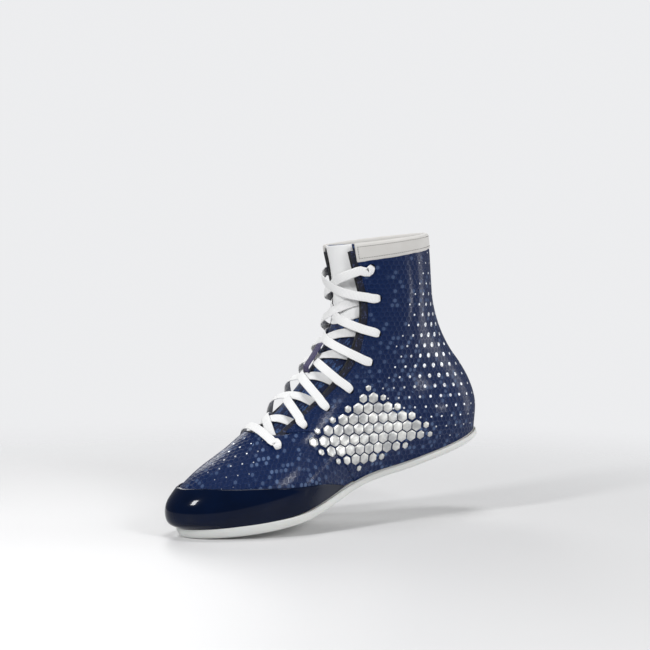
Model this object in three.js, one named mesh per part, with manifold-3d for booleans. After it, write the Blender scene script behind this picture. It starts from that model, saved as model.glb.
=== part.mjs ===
// A right-foot boxing boot, mid height, laced through eight rows of punched holes.
// Millimetres, +Z up. The toe points to -X, the heel to +X, the medial (big toe) side faces -Y.
// The origin is on the floor, under the middle of the boot.
// Every layer of the upper is an offset of one surface, the last, so layers stay parallel.
import * as THREE from "three";
import Module from "manifold-3d";
import { mergeVertices } from "three/addons/utils/BufferGeometryUtils.js";

const wasm = await Module();
wasm.setup();

// ---------------------------------------------------------------- driving dimensions
const LENGTH = 289; // toe to heel, over the upper
const WIDTH = 95; // across the ball of the foot
const HEIGHT = 191; // floor to the front of the collar
const GAP = 0.3; // between pieces that touch

const OUTSOLE = 7; // outsole, floor to feather line
const OUTSOLE_LIP = 1.6; // how far the outsole stands out past the upper
const OUTSOLE_EDGE = 1.4; // how far the outsole's bottom edge is drawn in
const TOE_SPRING = 15; // rise of the sole at the toe
const ARCH_LIFT = 2.5; // rise of the sole at the waist
const MIDSOLE_INSET = 8; // outsole wall round the midsole insert
const MIDSOLE_FLOOR = 3.2; // rubber under the midsole insert
const BOARD = 1.5; // lasting board
const SOCKLINER = 3.5; // removable footbed

const UPPER = 1.4; // coated textile of vamp, quarters and shaft
const EYESTAY = 0.6; // mesh underlay along the lace holes
const STIFFENER = 1.2; // heel counter and toe puff
const LINING = 2.7; // foam-backed lining, relieved for the layers set into it
const TONGUE = 3; // padded tongue
const LABEL = 0.8; // plain panel on the tongue's top
const KEEPER = 0.9; // lace keeper strap
const RAND = 1.6; // moulded toe rand
const FOIL = 0.6; // metallic side panels
const FOIL_LIFT = 0.5; // clearance between a surface layer and the upper under it
const COLLAR = 1.9; // folded collar band
const HEEL_STRIP = 0.8; // tape over the back seam
const HEEL_STRIP_WIDTH = 13;

const HOLE_R = 3.1; // punched lace hole
const LACE_WIDTH = 8;
const LACE = 1.2; // lace thickness
const LACE_CLEAR = 0.8; // lace to the surface it lies on
const CROSSING = 2; // between the middles of the two strands of a crossing
const FOLDED_WIDTH = 4.4; // the lace where it is bunched in a hole
const FOLDED = 1.9;
const TIP_WIDTH = 3.6;
const TIP = 1.5;

const BALL_RANGE = 30; // degrees that the toe lifts
const FORWARD_RANGE = 15; // degrees that the shaft leans forward
const BACK_RANGE = 20; // degrees that the shaft leans back
const WEDGE_MARGIN = 1.5; // degrees left over at each end of a flex wedge

// ---------------------------------------------------------------- the last
// Sections of a pattern last, which the driving dimensions grade. Each section is a loop round the
// foot, in a plane that runs from a point on the front ridge to a point on the back, as [x, z].
const PATTERN = { length: 289, width: 95, height: 191 };
const FRONT = [[-140, 14], [-146, 27], [-141, 43], [-119, 56], [-85, 66], [-46, 81], [-9, 101],
  [20, 123], [35, 147], [40, 170], [42, 191]];
const BACK = [[136, 8], [143, 28], [143, 46], [139, 62], [133, 77], [129, 92], [127, 107],
  [127, 123], [130, 140], [134, 158], [137, 175]];
// Fullness of the loops at nine stations from front to back, on six of the sections.
const STATIONS = [0, 22.5, 45, 67.5, 90, 112.5, 135, 157.5, 180];
const FULL_SECTIONS = [0, 1, 3, 5, 7, 10];
const MEDIAL = [
  [50, 52, 52.3, 46, 25, 26.5, 39, 47, 48],
  [55, 57.5, 55, 49.8, 34, 33.5, 43.8, 52, 52],
  [36, 36.6, 36.8, 35.7, 33, 34.6, 39.6, 41.8, 40],
  [28, 28.7, 28.3, 30.3, 33, 35.7, 35.4, 34, 33],
  [30, 31, 31.5, 33, 35, 36.5, 35, 32, 31],
  [33, 34, 34.5, 35.5, 36.5, 36.5, 35, 33, 32],
];
const LATERAL = [
  [50, 47, 47.4, 52, 43, 37.9, 43.8, 48.3, 48],
  [55, 52, 51, 54, 46, 42, 48, 53.6, 52],
  [36, 34, 35.4, 35.7, 35, 36.8, 41, 41.8, 40],
  [28, 28, 28, 30, 33, 37, 36, 34, 33],
  [30, 31, 31.5, 33, 35, 36.5, 35, 32, 31],
  [33, 34, 34.5, 35.5, 36.5, 36.5, 35, 33, 32],
];
const LEVELS = FRONT.length - 1;
const SOLE_LEVELS = 2.5; // sections over which the sole's curve fades out
const kx = LENGTH / PATTERN.length;
const ky = WIDTH / PATTERN.width;
const kz = HEIGHT / PATTERN.height;
const BALL_X = -50 * kx; // where the toe spring starts
const TOE_X = -142 * kx;
const WAIST_X = 18 * kx; // middle of the arch
const WAIST_HALF = 46 * kx;

const clamp = (t, low, high) => Math.min(high, Math.max(low, t));
const mix = (a, b, t) => a + (b - a) * t;
const smooth = (low, high, t) => {
  const s = clamp((t - low) / (high - low), 0, 1);
  return s * s * (3 - 2 * s);
};

// Smooth curve through (xs, ys), as a function: Hermite spans with three-point slopes.
function curve(xs, ys) {
  const n = xs.length;
  const slope = xs.slice(1).map((x, i) => (ys[i + 1] - ys[i]) / (x - xs[i]));
  const tangent = xs.map((x, i) => {
    if (i === 0) return slope[0];
    if (i === n - 1) return slope[n - 2];
    const before = x - xs[i - 1];
    const after = xs[i + 1] - x;
    return (slope[i - 1] * after + slope[i] * before) / (before + after);
  });
  return (x) => {
    let i = 0;
    while (i < n - 2 && x >= xs[i + 1]) i += 1;
    const h = xs[i + 1] - xs[i];
    const t = (x - xs[i]) / h;
    const t2 = t * t;
    const t3 = t2 * t;
    return (2 * t3 - 3 * t2 + 1) * ys[i] + (t3 - 2 * t2 + t) * h * tangent[i]
      + (3 * t2 - 2 * t3) * ys[i + 1] + (t3 - t2) * h * tangent[i + 1];
  };
}

const levelIndex = FRONT.map((_, i) => i);
const ridge = [0, 1].map((axis) => curve(levelIndex, FRONT.map((p) => p[axis])));
const spine = [0, 1].map((axis) => curve(levelIndex, BACK.map((p) => p[axis])));
const fullness = [MEDIAL, LATERAL].map((table) =>
  STATIONS.map((_, k) => curve(FULL_SECTIONS, table.map((row) => row[k]))));

// Height of the sole's curve above its flat state.
function soleRise(x) {
  const toe = Math.max(0, (BALL_X - x) / (BALL_X - TOE_X)) ** 1.6 * TOE_SPRING;
  const arch = ARCH_LIFT * (1 - smooth(0, WAIST_HALF, Math.abs(x - WAIST_X)));
  return toe + arch;
}

// The last's surface. u runs round the foot from the front ridge, along the medial side, to the
// back at 0.5 and home along the lateral side. v runs from the feather line, 0, to the collar, 1.
function last(u, v) {
  const level = v * LEVELS;
  const angle = 2 * Math.PI * (u - Math.floor(u));
  const share = (1 - Math.cos(angle)) / 2;
  const side = angle <= Math.PI ? 0 : 1;
  const degrees = THREE.MathUtils.radToDeg(side ? 2 * Math.PI - angle : angle);
  const row = fullness[side].map((f) => f(level));
  const half = curve(STATIONS, row)(degrees);
  const x = mix(ridge[0](level), spine[0](level), share) * kx;
  const chord = mix(ridge[1](level), spine[1](level), share) * kz;
  const floorChord = mix(FRONT[0][1], BACK[0][1],
    (x / kx - FRONT[0][0]) / (BACK[0][0] - FRONT[0][0])) * kz;
  const sole = Math.max(0, 1 - level / SOLE_LEVELS) ** 2;
  const z = chord + sole * (OUTSOLE + soleRise(x) - floorChord);
  return new THREE.Vector3(x, -Math.sin(angle) * half * ky, z);
}

// Outward normal. It is laid level at the feather line, so every layer ends square on the sole.
function normalAt(u, v) {
  const step = 1e-3;
  const across = last(u + step, v).sub(last(u - step, v));
  const along = last(u, Math.max(0, v) + step).sub(last(u, Math.max(0, v - step)));
  const n = across.cross(along).normalize();
  n.z *= smooth(0, 0.12, v);
  return n.normalize();
}
const offset = (u, v, d) => last(u, v).addScaledVector(normalAt(u, v), d);

// ---------------------------------------------------------------- solids
function geometry(points, faces) {
  const g = new THREE.BufferGeometry();
  g.setAttribute("position", new THREE.Float32BufferAttribute(points.flatMap((p) => p.toArray()), 3));
  g.setIndex(faces.flat());
  return g;
}

// A solid for cutting, from any closed geometry.
function solid(g) {
  const bare = new THREE.BufferGeometry();
  bare.setAttribute("position", g.getAttribute("position"));
  bare.setIndex(g.getIndex());
  const merged = mergeVertices(bare, 1e-3);
  const faces = [];
  const index = merged.getIndex().array;
  for (let i = 0; i < index.length; i += 3) {
    const [a, b, c] = [index[i], index[i + 1], index[i + 2]];
    if (a !== b && b !== c && c !== a) faces.push(a, b, c);
  }
  const build = (triangles) => new wasm.Manifold(new wasm.Mesh({
    numProp: 3,
    vertProperties: merged.getAttribute("position").array,
    triVerts: new Uint32Array(triangles),
  }));
  const made = build(faces);
  return made.volume() > 0 ? made : build(faces.reverse());
}

// A slab over a grid of (u, v) places, between two offsets of the last. place(a, b) gives [u, v]
// for a and b from 0 to 1. A ring closes on itself along a.
function slab({ place, outer, inner, na, nb, ring = false }) {
  const columns = ring ? na : na + 1;
  const points = [];
  for (const level of [outer, inner])
    for (let j = 0; j <= nb; j += 1)
      for (let i = 0; i < columns; i += 1) {
        const [u, v] = place(i / na, j / nb);
        points.push(offset(u, v, typeof level === "function" ? level(u, v, i / na, j / nb) : level));
      }
  const at = (layer, i, j) => layer * columns * (nb + 1) + j * columns + (i % columns);
  const faces = [];
  const quad = (a, b, c, d) => faces.push([a, b, c], [a, c, d]);
  for (let j = 0; j < nb; j += 1)
    for (let i = 0; i < na; i += 1) {
      quad(at(0, i, j), at(0, i + 1, j), at(0, i + 1, j + 1), at(0, i, j + 1));
      quad(at(1, i, j), at(1, i, j + 1), at(1, i + 1, j + 1), at(1, i + 1, j));
    }
  for (let i = 0; i < na; i += 1) {
    quad(at(0, i, 0), at(1, i, 0), at(1, i + 1, 0), at(0, i + 1, 0));
    quad(at(0, i, nb), at(0, i + 1, nb), at(1, i + 1, nb), at(1, i, nb));
  }
  if (!ring)
    for (let j = 0; j < nb; j += 1) {
      quad(at(0, 0, j), at(0, 0, j + 1), at(1, 0, j + 1), at(1, 0, j));
      quad(at(0, na, j), at(1, na, j), at(1, na, j + 1), at(0, na, j + 1));
    }
  return solid(geometry(points, faces));
}

// A flat plate that follows the sole: its outline is the feather line moved out by `out` at the
// top and `out - draw` at the bottom. low and high are heights above the sole's curve.
function plate({ out, draw = 0, low, high, n = 32 }) {
  const points = [];
  const outline = (u, d) => {
    const p = offset(u, 0, d);
    return new THREE.Vector2(p.x, p.y);
  };
  for (const [height, d] of [[high, out], [low, out - draw]])
    for (let i = 0; i <= n; i += 1) {
      const near = outline(i / (2 * n), d);
      const far = outline(1 - i / (2 * n), d);
      for (const p of [near, near.clone().lerp(far, 0.5), far])
        points.push(new THREE.Vector3(p.x, i === 0 || i === n ? (near.y + far.y) / 2 : p.y,
          height + soleRise(p.x)));
    }
  const at = (layer, i, k) => layer * 3 * (n + 1) + 3 * i + k;
  const faces = [];
  const quad = (a, b, c, d) => faces.push([a, b, c], [a, c, d]);
  for (let i = 0; i < n; i += 1) {
    for (const k of [0, 1]) {
      quad(at(0, i, k), at(0, i + 1, k), at(0, i + 1, k + 1), at(0, i, k + 1));
      quad(at(1, i, k), at(1, i, k + 1), at(1, i + 1, k + 1), at(1, i + 1, k));
    }
    quad(at(0, i, 0), at(1, i, 0), at(1, i + 1, 0), at(0, i + 1, 0));
    quad(at(0, i, 2), at(0, i + 1, 2), at(1, i + 1, 2), at(1, i, 2));
  }
  return solid(geometry(points, faces));
}

// One layer of the upper all round the foot. Every layer shares one grid, so layers never cross.
const ROUND = 32;
const RISE = 10;
const BASE_V = 0.0045; // lowest edge of every layer, just clear of the outsole
const layer = (outer, inner, top = 1) => slab({
  place: (a, b) => [a, mix(BASE_V, top, b)], outer, inner, na: ROUND, nb: RISE, ring: true,
});

// A cutter over a region of the last, through the layers down to a depth.
const region = (place, na, nb, inner = -6) => slab({ place, outer: 8, inner, na, nb });
const largest = (body) => body.decompose().sort((a, b) => b.volume() - a.volume())[0];

// ---------------------------------------------------------------- the throat and its lace holes
// The throat's edge, as u for v, and its front end, as v at the ridge and at the edge.
const EDGE_V = [0.388, 0.452, 0.51, 0.583, 0.683, 0.749, 0.846, 0.919, 1.0];
const EDGE_U = [0.142, 0.158, 0.178, 0.187, 0.168, 0.16, 0.142, 0.132, 0.127];
const edgeCurve = curve(EDGE_V, EDGE_U);
const edgeU = (v) => edgeCurve(Math.max(v, EDGE_V[0]));
const THROAT_RIDGE_V = 0.455;
const UNDERLAY_U = 0.03; // how far the eyestay and lining reach past the upper's edge
const UNDERLAY_V = 0.012;

function throat(insetU, insetV) {
  return region((a, b) => {
    const across = 2 * a - 1;
    const edge = mix(EDGE_V[0] + insetV, 1.06, b);
    const middle = mix(THROAT_RIDGE_V + insetV, 1.06, b);
    return [across * (edgeU(Math.min(edge, 1)) - insetU), mix(middle, edge, across * across)];
  }, 6, 12);
}
const upperThroat = throat(0, 0);
const underlayThroat = throat(UNDERLAY_U, UNDERLAY_V);

// Lace holes from the toe up, as [u, v] on the medial side. The lateral side mirrors them.
const HOLES = [[0.158, 0.32], [0.175, 0.386], [0.193, 0.432], [0.217, 0.471], [0.225, 0.56],
  [0.208, 0.664], [0.186, 0.788], [0.17, 0.903]];
const SIDES = { medial: 1, lateral: -1 };
const holeAt = (row, side) => [side * HOLES[row][0], HOLES[row][1]];
const punches = Object.values(SIDES).flatMap((side) => HOLES.map((_, row) => {
  const [u, v] = holeAt(row, side);
  const g = new THREE.CylinderGeometry(HOLE_R, HOLE_R, 14, 8);
  g.applyQuaternion(new THREE.Quaternion().setFromUnitVectors(new THREE.Vector3(0, 1, 0),
    normalAt(u, v)));
  g.translate(...last(u, v).toArray());
  return solid(g);
})).reduce((all, one) => all.add(one));

// ---------------------------------------------------------------- flex axes and zones
// The sole bends at the ball and the shaft bends at the ankle, both about the Y axis.
const BALL_AXIS = [-58 * kx, OUTSOLE - 1];
const ANKLE_AXIS = [80 * kx, 88 * kz];
const PIVOT_R = 4; // clear disc round the ankle axis
const FAR = 4 * LENGTH;
// Directions are degrees from +X towards +Z, seen from the lateral side.
const BALL_FOOT_FACE = 100;
const BALL_TOE_FACE = BALL_FOOT_FACE + BALL_RANGE + WEDGE_MARGIN;
const FRONT_CREASE = 149;
const FRONT_HALF = FORWARD_RANGE / 2 + WEDGE_MARGIN;
const BACK_CREASE = 22;
const BACK_HALF = BACK_RANGE / 2 + WEDGE_MARGIN;

// A prism across the whole boot from a polygon of [x, z] points.
function prism(polygon) {
  const shape = new THREE.Shape(polygon.map(([x, z]) => new THREE.Vector2(x, z)));
  const g = new THREE.ExtrudeGeometry(shape, { depth: 2 * WIDTH, bevelEnabled: false });
  g.rotateX(Math.PI / 2);
  g.translate(0, WIDTH, 0);
  return solid(g);
}
const along = ([x, z], degrees, distance) => {
  const t = THREE.MathUtils.degToRad(degrees);
  return [x + distance * Math.cos(t), z + distance * Math.sin(t)];
};
// A fan from an axis between two directions. Its faces are drawn in by the inset.
function fan(axis, from, to, inset = 0) {
  const half = (to - from) / 2;
  const apex = along(axis, (from + to) / 2, inset / Math.sin(THREE.MathUtils.degToRad(half)));
  const steps = Math.ceil((to - from) / 40);
  return prism([apex, ...Array.from({ length: steps + 1 }, (_, i) =>
    along(apex, mix(from, to, i / steps), FAR))]);
}
const disc = (axis, r) => prism(Array.from({ length: 14 }, (_, i) => along(axis, (i * 360) / 14, r)));

const toeZone = fan(BALL_AXIS, BALL_TOE_FACE, 240);
const ballZone = fan(BALL_AXIS, BALL_FOOT_FACE, BALL_TOE_FACE);
const ballPanel = fan(BALL_AXIS, BALL_FOOT_FACE, BALL_TOE_FACE, GAP);
const pivot = disc(ANKLE_AXIS, PIVOT_R);
const creaseFan = (centre, half, inset) => fan(ANKLE_AXIS, centre - half, centre + half, inset);
const frontPanel = creaseFan(FRONT_CREASE, FRONT_HALF, GAP).add(disc(ANKLE_AXIS, PIVOT_R - GAP));
const backPanel = creaseFan(BACK_CREASE, BACK_HALF, GAP).subtract(pivot);
const shaftZone = fan(ANKLE_AXIS, BACK_CREASE + BACK_HALF, FRONT_CREASE - FRONT_HALF).subtract(pivot);
const footCut = toeZone.add(ballZone).add(shaftZone).add(pivot)
  .add(creaseFan(FRONT_CREASE, FRONT_HALF, 0)).add(creaseFan(BACK_CREASE, BACK_HALF, 0));

const halfBoot = (side) => {
  const g = new THREE.BoxGeometry(2 * LENGTH, WIDTH, 2 * HEIGHT + WIDTH);
  g.translate(0, -side * (WIDTH / 2 + GAP / 2), HEIGHT / 2);
  return solid(g);
};
const halves = { medial: halfBoot(1), lateral: halfBoot(-1) };

// ---------------------------------------------------------------- parts
const SIMPLIFY = 0.12; // how far a face may move when needless triangles are merged
const COLOURS = {
  coated: [0x14264a, 0.3], crease: [0x1b3262, 0.5], rand: [0x101c3c, 0.15], foil: [0xb9bab4, 0.35],
  rubber: [0xe9e9e6, 0.55], foam: [0xd8d8d4, 0.9], board: [0xb9a98a, 0.9], mesh: [0x1c3566, 0.9],
  lining: [0x17181c, 0.95], collar: [0xe6e4df, 0.6], label: [0xf1f1ef, 0.5], lace: [0xf6f6f4, 0.85],
  keeper: [0x231c48, 0.7], counter: [0x8f8a80, 0.8], tip: [0xe8eaec, 0.3],
};
const group = new THREE.Group();
function add(name, body, finish) {
  const mesh = largest(new wasm.Manifold(largest(body.simplify(SIMPLIFY)).getMesh())).getMesh();
  const g = new THREE.BufferGeometry();
  g.setAttribute("position", new THREE.BufferAttribute(new Float32Array(mesh.vertProperties), 3));
  g.setIndex(new THREE.BufferAttribute(new Uint32Array(mesh.triVerts), 1));
  g.computeVertexNormals();
  const [color, roughness] = COLOURS[finish];
  const part = new THREE.Mesh(g, new THREE.MeshStandardMaterial({ color, roughness }));
  part.name = name;
  group.add(part);
}

// Sole unit: a rubber outsole with a foam insert, flex grooves and a lasting board on top.
let outsole = plate({ out: OUTSOLE_LIP, draw: OUTSOLE_EDGE, low: 0, high: OUTSOLE })
  .subtract(plate({ out: -MIDSOLE_INSET, low: MIDSOLE_FLOOR, high: OUTSOLE + 5 }));
const GROOVES = 5;
for (let i = 0; i < GROOVES; i += 1) {
  const g = new THREE.BoxGeometry(2, 2 * WIDTH, 10);
  const x = (-98 + 13 * i) * kx;
  g.translate(x, 0, soleRise(x) + 1 - 5);
  outsole = outsole.subtract(solid(g));
}
add("outsole", outsole, "rubber");
add("midsole", plate({ out: -MIDSOLE_INSET - GAP, low: MIDSOLE_FLOOR + GAP, high: OUTSOLE }), "foam");
const inside = UPPER + 3 * GAP + LINING + GAP;
add("lasting_board", plate({ out: -inside, low: OUTSOLE + GAP, high: OUTSOLE + GAP + BOARD }), "board");
const footbed = OUTSOLE + BOARD + 2 * GAP;
add("sockliner", plate({ out: -inside, low: footbed, high: footbed + SOCKLINER }), "lining");

// Toe rand: a moulded bumper from the outsole up, whose top edge falls towards the arch.
const randTop = curve([-0.2425, -0.218, -0.19, -0.139, -0.076, 0, 0.076, 0.139, 0.19, 0.218, 0.2425],
  [0.04, 0.085, 0.112, 0.174, 0.232, 0.255, 0.232, 0.174, 0.112, 0.085, 0.04]);
const RAND_END_U = 0.2425;
const RAND_LOW_V = 0.01; // clear of the outsole's rising edge
add("toe_rand", layer(FOIL_LIFT + RAND, FOIL_LIFT).intersect(region((a, b) => {
  const u = mix(-RAND_END_U, RAND_END_U, a);
  return [u, mix(RAND_LOW_V, randTop(u), b)];
}, 22, 6, -1)), "rand");

// Upper: a vamp and two quarters, each with its flex panel, and two shaft panels over them.
const seamU = curve([0, 0.031, 0.108, 0.212, 0.34, 0.42], [0.255, 0.252, 0.244, 0.229, 0.197, 0.17]);
const SEAM_TOP_V = 0.42;
const SEAM_GAP_U = 0.0002; // half the gap along the seam
const sector = (gap) => region((a, b) => {
  const v = mix(-0.03, SEAM_TOP_V + 0.2, b);
  return [(2 * a - 1) * (seamU(clamp(v, 0, SEAM_TOP_V)) + gap), v];
}, 16, 10);
const COLLAR_V = 0.934; // lower edge of the collar band
const COLLAR_GAP_V = 0.002;
const upper = layer(0, -UPPER).subtract(upperThroat).subtract(punches);
const below = region((a, b) => [a * 0.9999, mix(-0.05, COLLAR_V - COLLAR_GAP_V, b)], ROUND, RISE);
const above = region((a, b) => [a * 0.9999, mix(COLLAR_V, 1.05, b)], ROUND, 2);
const vamp = upper.intersect(sector(-SEAM_GAP_U));
const quarters = upper.subtract(sector(SEAM_GAP_U)).intersect(below);
add("vamp_toe", vamp.intersect(toeZone), "coated");
add("vamp_flex", vamp.intersect(ballPanel), "crease");
add("vamp_instep", vamp.subtract(footCut), "coated");
for (const [side, half] of Object.entries(halves)) {
  const panel = quarters.intersect(half);
  add(`quarter_${side}`, panel.subtract(footCut), "coated");
  add(`quarter_flex_${side}`, panel.intersect(frontPanel), "crease");
  add(`shaft_${side}`, panel.intersect(shaftZone), "coated");
}
add("tendon_flex", quarters.intersect(backPanel), "crease");
add("collar_band", layer(GAP, GAP - COLLAR).subtract(upperThroat).intersect(above), "collar");

// Stiffeners and underlays set into the lining.
const setIn = [];
function stiffener(name, place, depth, finish, limit) {
  const shape = region((a, b) => place(a, b, 0), 8, 3);
  const relief = region((a, b) => place(a, b, 0.009), 8, 3);
  const start = -UPPER - GAP;
  let body = layer(start, start - depth).intersect(shape);
  if (limit) body = limit(body);
  setIn.push(layer(0, start - depth - GAP).intersect(relief));
  add(name, body, finish);
}
stiffener("heel_counter", (a, b, grow) => {
  const side = 2 * a - 1;
  return [0.5 + side * (0.16 + grow), mix(-0.02, 0.31 - 0.1 * side * side + grow, b)];
}, STIFFENER, "counter");
stiffener("toe_puff", (a, b, grow) => {
  const side = 2 * a - 1;
  return [side * (0.13 + grow), mix(-0.02, 0.27 - 0.13 * side * side + grow, b)];
}, STIFFENER, "counter", (body) => body.intersect(toeZone));
const holeU = curve(HOLES.map((h) => h[1]), HOLES.map((h) => h[0]));
const EYESTAY_LOW_V = 0.295;
for (const [name, side] of Object.entries(SIDES))
  stiffener(`eyestay_${name}`, (a, b, grow) => {
    const v = mix(EYESTAY_LOW_V - grow, 0.985 + grow, b);
    const hole = holeU(clamp(v, HOLES[0][1], HOLES[7][1]));
    return [side * mix(edgeU(Math.min(1, v)) - UNDERLAY_U - grow, hole + 0.03 + grow, a), v];
  }, EYESTAY, "mesh", (body) => body.subtract(underlayThroat).subtract(punches));

let lining = layer(-UPPER - GAP, -UPPER - GAP - LINING, 0.985).subtract(underlayThroat)
  .subtract(punches).subtract(layer(1, GAP - COLLAR - GAP).intersect(above));
for (const relief of setIn) lining = lining.subtract(relief);
add("lining_toe", lining.intersect(toeZone), "lining");
add("lining_flex", lining.intersect(ballPanel), "lining");
add("lining_foot", lining.subtract(footCut), "lining");
for (const [side, half] of Object.entries(halves))
  add(`lining_crease_${side}`, lining.intersect(half).intersect(frontPanel), "lining");
add("lining_tendon", lining.intersect(backPanel), "lining");
add("lining_shaft", lining.intersect(shaftZone), "lining");

// Tongue: stitched in under the vamp, then clear below the lace.
const LACE_IN = UPPER + 2 * GAP + LINING + LACE_CLEAR + LACE / 2; // depth of a strand under the edge
const TONGUE_TOP = LACE_IN + LACE / 2 + LACE_CLEAR;
const TONGUE_V = 0.4;
const TONGUE_SIDE_U = 0.045; // overlap under each edge
const tongue = slab({
  place: (a, b) => {
    const side = 2 * a - 1;
    const v = mix(TONGUE_V - 0.07 * side * side, 0.995, b);
    return [side * (edgeU(v) + TONGUE_SIDE_U * smooth(0, 0.3, b)), v];
  },
  outer: (u, v, a, b) => -TONGUE_TOP + (TONGUE_TOP - UPPER - 2 * GAP - LINING)
    * (1 - smooth(0.02, 0.11, b)) * (1 - smooth(0.3, 0.7, Math.abs(2 * a - 1))),
  inner: -TONGUE_TOP - TONGUE, na: 14, nb: 20,
});
add("tongue_lower", tongue.subtract(footCut), "mesh");
add("tongue_flex", tongue.intersect(frontPanel), "mesh");
add("tongue_upper", tongue.intersect(shaftZone), "mesh");
const onTongue = (place, outer, na, nb) => slab({ place, outer, inner: -TONGUE_TOP + GAP, na, nb });
add("tongue_label", onTongue((a, b) => [mix(-0.085, 0.085, a), mix(0.77, 0.985, b)],
  -TONGUE_TOP + GAP + LABEL, 6, 8), "label");

// Heel strip: tape over the back seam. Side panels: one metallic panel on each quarter.
const HEEL_STRIP_U = HEEL_STRIP_WIDTH / 2 / 270;
add("heel_strip", layer(FOIL_LIFT + HEEL_STRIP, FOIL_LIFT).intersect(region((a, b) =>
  [mix(0.5 - HEEL_STRIP_U, 0.5 + HEEL_STRIP_U, a), mix(0.05, 0.985, b)], 1, 10, -1)), "collar");
const panelFront = curve([0, 1], [0.26, 0.197]);
const panelRear = curve([0, 0.4, 1], [0.345, 0.318, 0.257]);
for (const [name, side] of Object.entries(SIDES))
  add(`foil_${name}`, layer(FOIL_LIFT + FOIL, FOIL_LIFT).intersect(region((a, b) => {
    const u = mix(panelFront(b), panelRear(b), a);
    return [side * u, mix(mix(0.05, 0.29, b), mix(0.085, 0.44, b), a)];
  }, 6, 8, -1)), "foil");

// ---------------------------------------------------------------- lace
// One flat lace. A bar across the lowest row goes in through both holes. Each end then comes out
// from under its own edge, crosses, goes in under the other edge and up through the next hole.
// From there it crosses on top and goes under the other edge, row by row. At the highest row it
// lands on top, goes in and runs down between the tongue and the lining.
const IN = -LACE_IN;
const ON = LACE_CLEAR + LACE / 2;
const at = (row, side) => last(...holeAt(row, side));

// The place on the last that a chord's point reaches when it is moved out along a direction.
function reach(point, direction, guess) {
  let [u, v] = guess;
  let h = 0;
  for (let k = 0; k < 12; k += 1) {
    const p = last(u, v);
    const miss = point.clone().addScaledVector(direction, h).sub(p);
    const du = last(u + 1e-4, v).sub(p).multiplyScalar(1e4);
    const dv = last(u, v + 1e-4).sub(p).multiplyScalar(1e4);
    const m = new THREE.Matrix3().set(du.x, dv.x, -direction.x, du.y, dv.y, -direction.y,
      du.z, dv.z, -direction.z).invert();
    const step = miss.applyMatrix3(m);
    u += step.x;
    v += step.y;
    h += step.z;
  }
  return [u, v];
}

// Stations of a strand between two holes: the strand's depth d runs over t from 0 to 1.
const SPAN = [0.1, 0.22, 0.36, 0.5, 0.64, 0.78, 0.9];
function span(from, to, depth) {
  const start = last(...from);
  const end = last(...to);
  const up = normalAt(...from).add(normalAt(...to)).normalize();
  return SPAN.map((t) => {
    const guess = [mix(from[0], to[0], t), mix(from[1], to[1], t) + 0.14 * Math.sin(Math.PI * t)];
    const [u, v] = reach(start.clone().lerp(end, t), up, guess);
    return { u, v, d: depth(t) };
  });
}

// The lace folds through a hole. Its places there are [distance from the hole, depth, share], with
// the distance measured away from the throat and the share of the fold's width from 0 to 1.
const TOP_ROW = HOLES.length - 1;
const KEEPER_ROW = 3; // the crossing above this row is held down and drawn in by the keeper
const KEPT_LOW = -6;
const KEPT_CROSSING = 1.6;
const KEPT_WIDTH = 0.7; // share of the lace's width
const FOLD = [[-4.6, IN, 0], [-1.7, IN + 0.2, 0.7], [0.2, IN + 1.7, 1], [0.35, -2.2, 1],
  [0.2, -0.3, 1], [-1.7, ON - 0.1, 0.7], [-4.6, ON, 0]];
const depthCurve = (values) => curve([0, 0.22, 0.5, 0.78, 1], values);
const MIDDLE_LOW = -4.2; // depth of the lower strand at a crossing

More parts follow.
